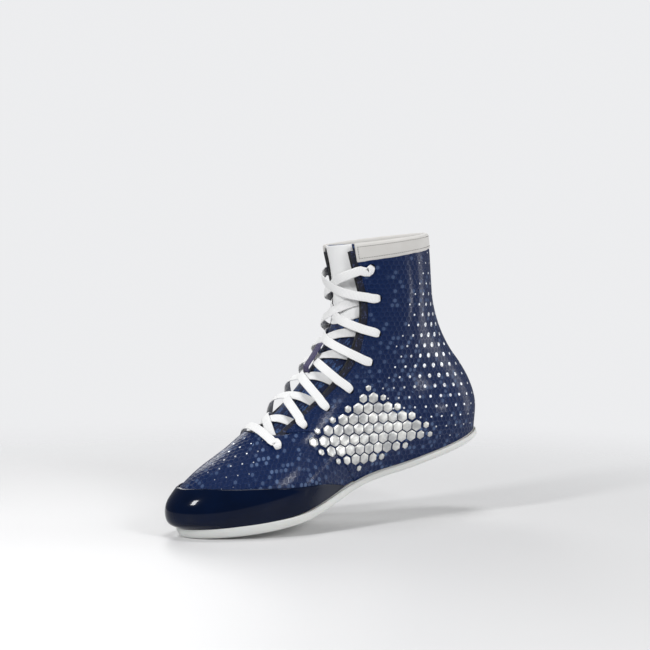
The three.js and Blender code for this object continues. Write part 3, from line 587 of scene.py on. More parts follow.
# %% [markdown]
# ## Wall of the outsole
# The wall is a section carried round the foot, like a spin that follows the feather line. The section
# climbs from the bed that the upper stands on, over a rounded lip, and down the outside.

# %% Wall of the outsole
u = np.arange(AROUND) / AROUND
mid = last(u, 0.0)[:, 0]
top = lip(mid)
level = np.zeros(AROUND)
profile = [(-7.0, level + SOLE_BED), (-1.2, level + SOLE_BED), (-1.0, top - 0.4), (0.35, top - 0.4),
           (0.75, top), (1.25, top + 0.05), (1.75, top - 0.45), (1.9, top - 1.4), (1.85, top * 0.55),
           (1.5, top * 0.25), (0.9, level + 0.75), (0.1, level + 0.2), (-1.0, level)]
rings = [sole_point(u, np.full(AROUND, out), h) for out, h in profile]
verts = list(np.concatenate(rings))
faces = []
for j in range(len(rings) - 1):
    for i in range(AROUND):
        k = (i + 1) % AROUND
        faces.append((j * AROUND + i, j * AROUND + k, (j + 1) * AROUND + k, (j + 1) * AROUND + i))
HALF = AROUND // 2
ACROSS = 112
PLAIN_BORDER = 8  # steps across in which the tread fades in
print(len(rings), "rings of", AROUND)

# %% [markdown]
# ## Bed and tread
# The ring of wall is closed above by a plain bed and below by the tread. Both are rows of faces from
# one side of the foot to the other, which meet the ring's own vertices, so that the piece is one
# closed body.

# %% Bed and tread
def fill(ring_index, height, cut):
    """Faces across the boot between the near and far halves of a ring."""
    base, ring = len(verts), rings[ring_index]
    where = {}
    for i in range(1, HALF):
        near, far = ring[i], ring[AROUND - i]
        for k in range(1, ACROSS):
            p = near + (far - near) * k / ACROSS
            q = p - CENTRE
            edge = min(1, min(k, ACROSS - k) / PLAIN_BORDER)
            p[2] = height + sole_rise(q[0]) + (tread(q[0], q[1]) * edge if cut else 0)
            where[i, k] = len(verts)
            verts.append(p)

    def at(i, k):
        if i == 0 or i == HALF or k == 0:
            return ring_index * AROUND + i
        if k == ACROSS:
            return ring_index * AROUND + AROUND - i
        return where[i, k]
    for i in range(HALF):
        for k in range(ACROSS):
            f = []
            for p in (at(i, k), at(i + 1, k), at(i + 1, k + 1), at(i, k + 1)):
                if p not in f:
                    f.append(p)
            if len(f) > 2:
                faces.append(f)


fill(len(rings) - 1, 0.0, True)
fill(0, SOLE_BED, False)
outsole = obj_from("outsole_rubber", verts, faces)
use(outsole)
bpy.ops.object.shade_smooth_by_angle(angle=radians(40))
print(outsole.name, len(outsole.data.vertices))

# %% [markdown]
# ## Footbed
# A removable footbed lies on the board inside. It could be a scaled copy of the sole's outline, but
# it has to clear the lining all round, so it is a plate between two inset curves, with a border that
# cups upwards.

# %% Footbed
n_long, n_wide = 120, 28
INSET = -4.9  # the footbed's border, from the feather line, in mm
BOARD, BED_THICK = 2.2, 3.4  # the board under it and its own thickness
uu = np.linspace(0, 0.5, n_long + 1)
near = sole_point(uu, np.full(n_long + 1, INSET), 0.0)[:, None]
far = sole_point(-uu, np.full(n_long + 1, INSET), 0.0)[:, None]
share = np.linspace(0, 1, n_wide + 1)[None, :, None]
plate = near + (far - near) * share
border = np.minimum(share, 1 - share)[..., 0] * np.linalg.norm(far - near, axis=-1)
cup = 1.6 * (1 - smooth(0, 14, border)) + 0.8 * smooth(60, 110, plate[..., 0]) * (1 - smooth(0, 18, border))
base = OUTSOLE + BOARD + sole_rise(plate[..., 0] - CENTRE[0])
above, under = plate.copy(), plate.copy()
above[..., 2], under[..., 2] = base + BED_THICK + cup - 0.5 * (border < 0.4), base
verts = np.concatenate([above.reshape(-1, 3), under.reshape(-1, 3)])
uv = verts[:, :2]
faces = slab_faces(n_long + 1, n_wide + 1)
footbed = obj_from("footbed", verts, faces, uv)
use(footbed)
bpy.ops.object.shade_smooth_by_angle(angle=radians(45))
print(footbed.name, len(footbed.data.vertices))

# %% [markdown]
# ## Lining
# The inside of the boot is a knitted, foam-backed lining. It is one smooth skin on the real boot.
# Here it is parted between the two bends, so that each half crosses only one of them, and the halves
# lap a little under the vamp's edge.

# %% Lining
LINING_OUT, LINING_IN = -2.4, -4.3  # its two faces, from the last, in mm
LINING_TOP, LAP = 0.972, 0.004  # v under the collar's roll, and the lap of the two halves in u


def lining_place(front):
    def place(a, b):
        if front:
            u = (2 * a - 1) * (VAMP_END + LAP)
            top = vamp_top(np.minimum(abs(u), VAMP_END)) + 0.006
            return u, FEATHER + (np.maximum(top, 0.05) - FEATHER) * b
        v = FEATHER + (LINING_TOP - FEATHER) * b
        start = np.where(v < 0.40, quarter_front(v) - LAP, edge_u(np.clip(v, THROAT_LOW, 1)) - 0.026)
        return start + (1 - 2 * start) * a, v
    return place


lining_front = patch("lining_front", lining_place(True), LINING_OUT, LINING_IN, 80, 36, chart_top)
lining_back = patch("lining_back", lining_place(False), LINING_OUT, LINING_IN, 140, 80)
print(lining_front.name, len(lining_front.data.vertices), lining_back.name, len(lining_back.data.vertices))

# %% [markdown]
# ## Collar band
# The collar is a soft band folded over the top edge, padded with a little foam. Its section runs up
# the outside, over a roll and down the inside. Simulated cloth would sag here, while stitching holds
# the real band in shape, so the section is drawn and small waves make it soft.

# %% Collar band
# The section, as (v, depth in mm), from the outer lower edge up and over
SECTION = [(0.9285, -0.6), (0.9285, 0.2), (0.931, 0.55), (0.936, 0.72), (0.950, 0.78), (0.970, 0.74),
           (0.988, 0.62), (0.997, 0.25), (1.0015, -0.5), (1.003, -1.4), (1.0025, -2.4), (0.999, -3.3),
           (0.992, -3.9), (0.975, -4.4), (0.945, -4.5), (0.915, -4.5), (0.911, -4.3), (0.913, -3.9),
           (0.945, -3.6), (0.972, -3.0), (0.982, -2.3), (0.978, -1.5), (0.960, -1.2), (0.937, -1.15)]
COLLAR_RIM = 0.004  # share of the band that rounds off at each end


def softness(u):
    """Small waves of the padded collar, in mm."""
    return 0.18 * np.sin(u * 60) + 0.12 * np.sin(u * 137 + 1)


def collar_band():
    spread = rimmed(150, COLLAR_RIM)
    u0 = float(edge_u(0.97)) + 0.001
    verts, uv = [], []
    for a in spread:
        u = u0 + (1 - 2 * u0) * a
        end = min(a, 1 - a) / COLLAR_RIM
        pull = 0.35 * (1 - np.sqrt(1 - (1 - min(1, end)) ** 2))
        v = np.array([q[0] for q in SECTION])
        d = np.array([q[1] for q in SECTION])
        v = v + (0.962 - v) * pull * 0.25
        d = d + (-2.0 - d) * pull
        p = on(np.full(len(v), u), v, d + softness(u) * (d > -1))
        verts.extend(p)
        s, t = chart_side(np.full(len(v), u), v)
        uv.extend(np.stack([s, t + d], -1))
    k = len(SECTION)
    m = len(spread)
    faces = [(i * k + j, i * k + (j + 1) % k, (i + 1) * k + (j + 1) % k, (i + 1) * k + j)
             for i in range(m - 1) for j in range(k)]
    faces += [tuple(range(k)), tuple((m - 1) * k + j for j in range(k))]
    return obj_from("collar_suede", verts, faces, uv)


collar = collar_band()
print(collar.name, len(collar.data.vertices))

# %% [markdown]
# ## Heel tape
# A narrow tape covers the back seam from the sole to the collar. It lies between the back edges of
# the quarters, which leave room for it.

# %% Heel tape
TAPE_WIDE = 0.048  # in u
TAPE_LOW, TAPE_TOP = -0.004, 0.945
tape = patch("heel_tape", lambda a, b: (0.5 + (a - 0.5) * TAPE_WIDE, TAPE_LOW + (TAPE_TOP - TAPE_LOW) * b),
             -0.25, -1.3, 10, 110, rim=(0.06, 0.004))
print(tape.name, len(tape.data.vertices))

# %% [markdown]
# ## Tongue
# The tongue is a quilted mesh pad behind the lace, tucked under the vamp at its lower end. It is
# thicker between its edges. Inflating a cloth would round it too much, because the lace holds it
# flat, so a small wave across and along it stands for the quilting.

# %% Tongue
TONGUE_TOP, TONGUE_THICK = 7.5, 3.2  # depth of its face in from the last, and its thickness, in mm
TONGUE_LOW = 0.40


def tongue_place(a, b):
    side = 2 * a - 1
    low = TONGUE_LOW - 0.07 * side**2
    v = low + (1 - low) * b - 0.012 * b**8 * side**4
    return side * (edge_u(np.clip(v, THROAT_LOW, 1)) + 0.045 * smooth(0, 0.3, b)), v


def tongue_skin(u, v, a, b):
    side = 2 * a - 1
    tucked = 2.6 * (1 - smooth(0.02, 0.11, b)) * (1 - smooth(0.3, 0.7, abs(side)))
    quilt = 0.22 * np.cos(pi * side) + 0.1 * np.sin(b * 50)
    return -TONGUE_TOP + tucked + quilt * smooth(0.1, 0.2, b) * (abs(side) < 0.9)


def tongue_back(u, v, a, b):
    return tongue_skin(u, v, a, b) - TONGUE_THICK


def tongue_chart(u, v):
    """(s, t) in mm, near enough on the narrow tongue."""
    return u * 270, v * 165


tongue = patch("tongue_mesh", tongue_place, tongue_skin, tongue_back, 46, 120, tongue_chart,
               rim=(0.03, 0.01))
print(tongue.name, len(tongue.data.vertices))

# %% [markdown]
# ## Plain panel on the tongue
# The top of the tongue carries a smooth white panel, stitched on. It is a thin patch over the tongue,
# a little narrower than the throat.

# %% Plain panel on the tongue
PANEL_V = (0.742, 0.999)


def panel_sheet(a, b):
    v = PANEL_V[0] + (PANEL_V[1] - PANEL_V[0]) * b
    return (2 * a - 1) * (edge_u(v) - 0.009), v


def panel_face(u, v, a, b):
    return 1.0 - TONGUE_TOP + 0.12 * np.sin(a * 9) * np.sin(b * 7)


panel = patch("tongue_panel", panel_sheet, panel_face, 0.25 - TONGUE_TOP, 24, 40, tongue_chart,
              rim=(0.03, 0.02))
print(panel.name, len(panel.data.vertices))

# %% [markdown]
# ## Section and folds of the lace
# The lace is flat and woven, so it is a ribbon with a width and a thickness, and not a round cord
# with a bevelled curve. The same ribbon runs through all holes. A fold says how it goes through a
# hole: it turns over the edge, gets narrower and thicker, and spreads out again.

# %% Section and folds of the lace
LACE_IN, LACE_ON = -6.1, 1.35
LACE_WIDE, LACE_THICK, FOLD_WIDE, FOLD_THICK = 7.2, 1.1, 4.4, 1.9
TOP_ROW, KEPT_ROW = 7, 3  # the last row, and the row below the crossing that the keeper holds
TUCKED = ((0.185, 0.868), (0.205, 0.84), (0.222, 0.805), (0.234, 0.765))  # (u, v) of the ends, inside
SPAN = np.array([0.07, 0.12, 0.18, 0.25, 0.32, 0.39, 0.45, 0.5, 0.55, 0.61, 0.68, 0.75, 0.82, 0.88, 0.93])
# Stations of a fold: mm out from the hole's middle, depth, and the share of folding
FOLD = [(-4.6, LACE_IN, 0), (-3.0, LACE_IN + 0.02, 0.35), (-1.7, LACE_IN + 0.25, 0.7),
        (-0.5, LACE_IN + 0.8, 0.9), (0.2, LACE_IN + 1.8, 1), (0.35, -3.2, 1), (0.38, -2.0, 1),
        (0.35, -0.9, 1), (0.25, -0.1, 0.85), (-0.3, 0.65, 0.55), (-1.5, LACE_ON - 0.08, 0.25),
        (-3.0, LACE_ON, 0.05), (-4.6, LACE_ON, 0)]
print("lace", LACE_WIDE, "x", LACE_THICK, "mm, and in a fold", FOLD_WIDE, "x", FOLD_THICK)

# %% [markdown]
# ## Straight spans over the throat
# Between two holes a pulled lace is straight, while the boot under it is round. A place on a straight
# line is turned into u and v by Newton's method, so that the lace's depth can be set against the
# last.

# %% Straight spans over the throat
def reach(points, direction, u, v):
    """(u, v) where lines from points along a direction meet the last, by Newton's method."""
    h = np.zeros(len(u))
    aim = np.broadcast_to(-direction, points.shape)
    for _ in range(8):
        p = last(u, v)
        m = np.stack([(last(u + 1e-4, v) - p) * 1e4, (last(u, v + 1e-4) - p) * 1e4, aim], -1)
        step = np.linalg.solve(m, (points + direction * h[:, None] - p)[..., None])[..., 0]
        u, v, h = u + step[:, 0], v + step[:, 1], h + step[:, 2]
    return u, v


print(len(SPAN), "places on each span")

# %% [markdown]
# ## Route of the lace
# The route is the CAD model's: a bar over the lowest row, then crossings that come out of a hole on
# top and go in under the far edge, and two ends tucked down inside. One function makes both halves,
# so the crossings differ only in which half lies on top.

# %% Route of the lace
def lace_route():
    """Stations of the whole lace: place, width direction, width and thickness."""
    hole = lambda row, side: (side * HOLES[row][0], HOLES[row][1])
    at = lambda row, side: last(*hole(row, side))

    def flat(u, v, d, share=0.0, squeeze=1.0):
        return [last(u, v) + normal(u, v) * d, None, normal(u, v),
                (LACE_WIDE + (FOLD_WIDE - LACE_WIDE) * share) * squeeze,
                LACE_THICK + (FOLD_THICK - LACE_THICK) * share]

    def fold(row, side, away, places):
        u, v = hole(row, side)
        n = normal(u, v)
        out = unit(away - n * away.dot(n))
        return [[last(u, v) + out * x + n * d, np.cross(n, out), None,
                 LACE_WIDE + (FOLD_WIDE - LACE_WIDE) * s, LACE_THICK + (FOLD_THICK - LACE_THICK) * s]
                for x, d, s in places]

    def gathered(t):
        """How much the keeper gathers the lace at a share t of a span."""
        return np.exp(-((t - 0.5) / 0.16) ** 4)

    def span(p, q, depth, kept=False):
        start, end = last(*p), last(*q)
        up = unit(normal(*p) + normal(*q))
        u, v = reach(start + (end - start) * SPAN[:, None], up, p[0] + (q[0] - p[0]) * SPAN,
                     p[1] + (q[1] - p[1]) * SPAN + 0.14 * np.sin(pi * SPAN))
        return [flat(a, b, float(depth(t)), 0, 1 - 0.3 * kept * gathered(t)) for a, b, t in zip(u, v, SPAN)]

    knots = [0, 0.22, 0.5, 0.78, 1]
    inward = FOLD[::-1]

    def end(first):
        side_at = lambda row: -first if row % 2 else first
        heading = lambda row: unit(at(row + 1, side_at(row + 1)) - at(row, side_at(row)))
        path = fold(0, first, unit(at(0, first) - at(0, -first)) - heading(0), inward)
        for row in range(TOP_ROW):
            side = side_at(row)
            kept = row == KEPT_ROW
            over = (row % 2 == 0) == (side > 0)
            middle = (-6.0 + over * 1.6) if kept else (-4.4 + over * 2.0)
            if row == 0:
                depth = [LACE_IN, LACE_IN + 0.8, middle, LACE_IN + 0.8, LACE_IN]
            elif row == TOP_ROW - 1:
                depth = [LACE_ON, LACE_ON - 0.2, middle + 0.8, LACE_ON - 0.2, LACE_ON]
            else:
                depth = [LACE_ON, LACE_ON - 0.2, middle, LACE_IN + 0.8, LACE_IN]
            path += span(hole(row, side), hole(row + 1, -side), spline(knots, depth), kept)
            if row < TOP_ROW - 1:
                path += fold(row + 1, -side, heading(row) - heading(row + 1), FOLD)
            else:
                path += fold(row + 1, -side, heading(row), inward[:9])
        s = side_at(TOP_ROW)
        path += [flat(s * 0.1715, 0.898, LACE_IN + 0.9, 1), flat(s * 0.1765, 0.885, LACE_IN, 0.6)]
        path += [flat(s * a, b, LACE_IN) for a, b in TUCKED]
        return path
    bar = span(hole(0, 1), hole(0, -1), lambda t: LACE_ON)
    return end(1)[::-1] + bar + end(-1)


print(TOP_ROW, "crossings on each half")

# %% [markdown]
# ## The lace itself
# The route's stations are joined by a smooth curve, and a flat section with round edges is carried
# along it. The width direction is passed on from station to station, or the ribbon would flip over at
# a fold.

# %% The lace itself
def ribbon(name, centres, widths, wide, thick):
    """A flat band with round edges. uv is (across, along) in mm."""
    centres, widths = np.asarray(centres, float), np.asarray(widths, float)
    tangent = unit(np.gradient(centres, axis=0))
    w = unit(widths - tangent * (widths * tangent).sum(-1, keepdims=True))
    up = np.cross(tangent, w)
    sides = 12
    angle = np.linspace(0, 2 * pi, sides, endpoint=False)
    ca, sa = np.cos(angle), np.sin(angle)
    round_x = np.sign(ca) * abs(ca) ** 0.35
    round_y = np.sign(sa) * abs(sa) ** 0.7
    wide, thick = np.broadcast_to(wide, len(centres)), np.broadcast_to(thick, len(centres))
    ring = (centres[:, None] + w[:, None] * (round_x * 0.5)[:, None] * wide[:, None, None]
            + up[:, None] * (round_y * 0.5)[:, None] * thick[:, None, None])
    run = np.concatenate([[0], np.cumsum(np.linalg.norm(np.diff(centres, axis=0), axis=1))])
    uv = np.stack([np.broadcast_to(round_x * 0.5, (len(run), sides)) * wide[:, None],
                   np.broadcast_to(run[:, None], (len(run), sides))], -1)
    faces = []
    for i in range(len(centres) - 1):
        for j in range(sides):
            k = (j + 1) % sides
            faces.append((i * sides + j, i * sides + k, (i + 1) * sides + k, (i + 1) * sides + j))
    faces += [tuple(range(sides)), tuple((len(centres) - 1) * sides + j for j in range(sides))]
    return obj_from(name, ring.reshape(-1, 3), faces, uv.reshape(-1, 2))


def lace():
    route = lace_route()
    p = np.array([r[0] for r in route]) + CENTRE
    tangent = unit(np.gradient(p, axis=0))
    widths, before = [], None
    for r, t in zip(route, tangent):
        w = r[1] if r[1] is not None else np.cross(r[2], t)
        w = unit(w - t * w.dot(t))
        if before is not None and w.dot(before) < 0:
            w = -w
        widths.append(w)
        before = w
    wide, thick = np.array([r[3] for r in route]), np.array([r[4] for r in route])
    run = np.concatenate([[0], np.cumsum(np.linalg.norm(np.diff(p, axis=0), axis=1))])
    fine = np.interp(np.arange(0, len(run) - 1 + 0.01, 0.5), np.arange(len(run)), run)
    smooth3 = lambda a: np.stack([spline(run, np.asarray(a)[:, k])(fine) for k in range(3)], -1)
    print("lace length, mm", round(float(run[-1])))
    return ribbon("lace_woven", smooth3(p), smooth3(widths), np.interp(fine, run, wide),
                  np.interp(fine, run, thick))


lace_o = lace()
print(lace_o.name, len(lace_o.data.vertices))

# %% [markdown]
# ## Lace keeper
# A loop of webbing on the tongue keeps the lace from sliding. The fourth crossing goes through it. It
# lies on the tongue at both ends and rises over the lace in the middle, so it is another ribbon,
# whose depth changes along its way.

# %% Lace keeper
row, next_row = KEPT_ROW, KEPT_ROW + 1
a, b = last(HOLES[row][0], HOLES[row][1]), last(-HOLES[next_row][0], HOLES[next_row][1])
up = unit(normal(HOLES[row][0], HOLES[row][1]) + normal(-HOLES[next_row][0], HOLES[next_row][1]))
keeper_v = float(reach((a + b)[None] / 2, up, np.zeros(1), np.full(1, HOLES[row][1] + 0.14))[1][0])
across = np.linspace(-1, 1, 61)
depth = -7.2 + 6.15 * (1 - smooth(0.46, 0.74, abs(across)))
KEEPER_U, KEEPER_WIDE, KEEPER_THICK = 0.008, 9.0, 0.8
centres = on(np.full(61, KEEPER_U), keeper_v + across * 0.06, depth)
keeper = ribbon("keeper_webbing", centres, np.tile([0, 1.0, 0], (61, 1)), KEEPER_WIDE, KEEPER_THICK)
print(keeper.name, "at v", round(keeper_v, 3))

# %% [markdown]
# ## Places on the chart
# Each side carries a panel of small, bright plates on a honeycomb. They are placed on the flat chart,
# where a honeycomb is easy, and carried to the boot. For that, u and v are found from a chart place
# by Newton's method.

# %% Places on the chart
def chart_inverse(s, t, side, guess):
    """(u, v) on one side for chart places. side is 1 for medial, -1 for lateral."""
    u = np.full(np.shape(s), float(guess[0]))
    v = np.full(np.shape(s), float(guess[1]))
    for _ in range(14):
        s0, t0 = chart_side(side * u, v)
        su, tu = chart_side(side * (u + 1e-3), v)
        sv, tv = chart_side(side * u, v + 1e-3)
        a, b, c, d = (su - s0) * 1e3, (sv - s0) * 1e3, (tu - t0) * 1e3, (tv - t0) * 1e3
        det = a * d - b * c
        du = (d * (s - s0) - b * (t - t0)) / det
        dv = (a * (t - t0) - c * (s - s0)) / det
        u = np.clip(u + np.clip(du, -0.05, 0.05), 0.12, 0.46)
        v = np.clip(v + np.clip(dv, -0.08, 0.08), 0.01, 0.9)
    return u, v


panel_front = spline([0, 1], [0.262, 0.199])
panel_rear = spline([0, 0.4, 1], [0.345, 0.318, 0.257])


def panel_place(a, b):
    u = panel_front(b) + (panel_rear(b) - panel_front(b)) * a
    low = 0.05 + (0.29 - 0.05) * b
    high = 0.085 + (0.44 - 0.085) * b
    return u, low + (high - low) * a


def panel_border(side):
    line = np.linspace(0, 1, 14)
    a = np.concatenate([line, np.ones(14), line[::-1], np.zeros(14)])
    b = np.concatenate([np.zeros(14), line, np.ones(14), line[::-1]])
    u, v = panel_place(a, b)
    return np.stack(chart_side(side * u, v), -1)


print("panel on the chart, mm", panel_border(1).min(0).round(), panel_border(1).max(0).round())

# %% [markdown]
# ## Inside the panel
# The plates shrink towards the panel's edges, so each needs its distance from the border. It is the
# distance to the nearest side of the outline, counted as negative outside.

# %% Inside the panel
def depth_inside(points, border):
    """Distance from each point to the border, negative outside."""
    p, q = border, np.roll(border, -1, axis=0)
    e = q - p
    w = points[:, None] - p
    share = np.clip((w * e).sum(-1) / np.maximum((e * e).sum(-1), 1e-9), 0, 1)
    far = np.linalg.norm(w - e * share[..., None], axis=-1).min(1)
    crossing = ((p[:, 1] > points[:, None, 1]) != (q[:, 1] > points[:, None, 1])) & (
        points[:, None, 0] < (q[:, 0] - p[:, 0]) * (points[:, None, 1] - p[:, 1])
        / np.where(abs(q[:, 1] - p[:, 1]) < 1e-9, 1e-9, q[:, 1] - p[:, 1]) + p[:, 0])
    return np.where(crossing.sum(1) % 2 == 1, far, -far)


middle = panel_border(1).mean(0)[None]
print("its middle is inside by, mm", depth_inside(middle, panel_border(1)).round(1))

# %% [markdown]
# ## Side scales
# One plate is a low, six-sided tile with a bevelled edge. All plates of one side make one mesh. An
# array modifier couldn't bend them over the foot one by one, so their corners are computed together.

# %% Side scales
SCALE_PITCH = 9.2  # from the middle of one plate to the next, in mm
SCALE_GAP = 1.0


def scales(name, side):
    border = panel_border(side)
    low, high = border.min(0), border.max(0)
    rise = SCALE_PITCH * sqrt(3) / 2
    spots = []
    for j in range(int((high[1] - low[1]) / rise) + 2):
        for i in range(int((high[0] - low[0]) / SCALE_PITCH) + 2):
            spots.append((low[0] + (i + 0.5 * (j % 2)) * SCALE_PITCH, low[1] + j * rise))
    spots = np.array(spots)
    depth = depth_inside(spots, border)
    faces = []
    corners = np.radians(30 + 60 * np.arange(6))
    ring12 = np.concatenate([[(cos(a), sin(a)), ((cos(a) + cos(b)) / 2, (sin(a) + sin(b)) / 2)]
                             for a, b in zip(corners, np.roll(corners, -1))])
    shown = depth > -2.5
    spots, depth = spots[shown], depth[shown]
    sizes = (SCALE_PITCH / sqrt(3) - SCALE_GAP / 2) * (0.5 + 0.5 * smooth(-2.5, 6, depth))
    layers = [(1.0, 0.3), (1.0, 0.62), (0.9, 0.86), (0.55, 0.96), (0.0, 0.3), (0.0, 0.98)]
    shape = np.concatenate([ring12 * share for share, _ in layers[:4]] + [[(0, 0), (0, 0)]])
    heights = np.concatenate([np.full(12, d) for _, d in layers[:4]] + [[d for _, d in layers[4:]]])
    flat = spots[:, None] + shape * sizes[:, None, None]
    u, v = chart_inverse(flat[..., 0], flat[..., 1], side, (0.28, 0.25))
    verts = on(side * u, v, np.broadcast_to(heights, u.shape)).reshape(-1, 3)
    uv = flat.reshape(-1, 2)
    for base in range(0, len(verts), len(shape)):
        for k in range(3):
            row = base + k * 12
            for i in range(12):
                z = (i + 1) % 12
                faces.append((row + i, row + z, row + 12 + z, row + 12 + i))
        for i in range(12):
            z = (i + 1) % 12
            faces.append((base + 36 + i, base + 36 + z, base + 49))
            faces.append((base + z, base + i, base + 48))
    return obj_from(name, verts, faces, uv)


foils = {name: scales(f"side_scales_{name}", side) for name, side in SIDES.items()}
print({o.name: len(o.data.vertices) for o in foils.values()})

# %% [markdown]
# ## Short raised stitches
# Stitches catch light, so they are real little bumps and not a dark line. Each is a spindle with few
# faces, because there are hundreds. They follow a row of places on the surface at a steady pitch.

# %% Short raised stitches
def stitches(name, rows, pitch, length, radius):
    """Short raised stitches along rows of (u, v, d) places."""
    verts, faces = [], []
    shape = [(-0.5, 0.35), (-0.3, 1.0), (0.3, 1.0), (0.5, 0.35)]
    for u, v, d in rows:
        u, v = np.broadcast_arrays(np.asarray(u, float), np.asarray(v, float))
        p = on(u, v, d)
        run = np.concatenate([[0], np.cumsum(np.linalg.norm(np.diff(p, axis=0), axis=1))])
        spots = np.arange(pitch / 2, run[-1], pitch)
        uu, vv = np.interp(spots, run, u), np.interp(spots, run, v)
        c = np.stack([np.interp(spots, run, p[:, k]) for k in range(3)], -1)
        n = normal(uu, vv)
        t = unit(np.stack([np.interp(spots + 0.5, run, p[:, k]) for k in range(3)], -1)
                 - np.stack([np.interp(spots - 0.5, run, p[:, k]) for k in range(3)], -1))
        w = np.cross(n, t)
        for k in range(len(spots)):
            base = len(verts)
            for x, r in shape:
                for q in range(5):
                    a = 2 * pi * q / 5
                    out = w[k] * cos(a) + n[k] * sin(a) * 0.7
                    verts.append(c[k] + t[k] * x * length + out * radius * r)
            for i in range(3):
                ring = base + i * 5
                for q in range(5):
                    z = (q + 1) % 5
                    faces.append((ring + q, ring + z, ring + 5 + z, ring + 5 + q))
            faces += [tuple(base + q for q in range(5)), tuple(base + 15 + q for q in range(5))]
    return obj_from(name, verts, faces)


print("a stitch has 4 rings of 5 places")

# %% [markdown]
# ## Rows of stitches
# A double row holds the collar, with a short row at each end, and one row follows the front edge of
# each quarter. The rows on the collar follow its small waves, or they would sink in.

# %% Rows of stitches
around = np.linspace(float(edge_u(0.95)) + 0.006, 1 - float(edge_u(0.95)) - 0.006, 300)
collar_rows = [(around, np.full(300, 0.9425), 0.8 + softness(around)),
               (around, np.full(300, 0.988), 0.66 + softness(around))]
for side in SIDES.values():
    v = np.linspace(0.9445, 0.988, 12)
    end_u = float(edge_u(0.95)) + 0.0085
    collar_rows.append((side * np.full(12, end_u), v, 0.8 + softness(end_u if side > 0 else 1 - end_u)))
collar_stitches = stitches("collar_stitches", collar_rows, 2.0, 1.25, 0.25)
edge_rows = []
for side in SIDES.values():
    v = np.linspace(0.02, 0.93, 260)
    edge_rows.append((side * (quarter_front(v) + 0.0068), v, 0.27))
upper_stitches = stitches("upper_stitches", edge_rows, 2.3, 1.5, 0.22)
print(len(collar_stitches.data.vertices), len(upper_stitches.data.vertices))

# %% [markdown]
# ## Shader arithmetic
# A pattern is a sum with many terms, and wiring each Math node by hand hides the idea. `Value` wraps
# a socket and adds the node when two of them are added or multiplied, so a pattern reads like a
# formula.

# %% Shader arithmetic
class Value:
    """A socket with arithmetic. Each operator adds a Math node."""

    def __init__(self, finish, socket):
        self.finish, self.socket = finish, socket

    def math(self, operation, *values):
        return self.finish.node("ShaderNodeMath", dict(operation=operation), values)

    def __add__(self, other):
        return self.math("ADD", self, other)

    def __radd__(self, other):
        return self.math("ADD", other, self)

    def __sub__(self, other):
        return self.math("SUBTRACT", self, other)

    def __rsub__(self, other):
        return self.math("SUBTRACT", other, self)

    def __mul__(self, other):
        return self.math("MULTIPLY", self, other)

    def __rmul__(self, other):
        return self.math("MULTIPLY", other, self)

    def __truediv__(self, other):
        return self.math("DIVIDE", self, other)

    def __pow__(self, other):
        return self.math("POWER", self, other)

    def __lt__(self, other):
        return self.math("LESS_THAN", self, other)

    def __gt__(self, other):
        return self.math("GREATER_THAN", self, other)

    def __abs__(self):
        return self.math("ABSOLUTE", self)

    def sine(self):
        return self.math("SINE", self)

    def floor(self):
        return self.math("FLOOR", self)

    def wrap(self, size):
        """The place within one period, from -size / 2 to size / 2."""
        return self - (self / size + 0.5).floor() * size

    def larger(self, other):
        return self.math("MAXIMUM", self, other)

    def step(self, low, high):
        """A soft step from 0 at low to 1 at high."""
        node = dict(interpolation_type="SMOOTHSTEP")
        return self.finish.node("ShaderNodeMapRange", node,
                                {"Value": self, "From Min": low, "From Max": high})


print("values can be added, multiplied, compared and wrapped")

# %% [markdown]
# ## One material
# `Finish` is one material on the Principled shader. It makes any node from its type, its settings and
# its inputs, and it holds the few patterns that several materials share: noise, chance for each cell,
# a staggered lattice, and a honeycomb.

# %% One material
def rgb(r, g, b):
    """A display colour, 0 to 255, as a scene colour."""
    def line(c):
        c /= 255
        return c / 12.92 if c <= 0.04045 else ((c + 0.055) / 1.055) ** 2.4
    return (line(r), line(g), line(b), 1.0)


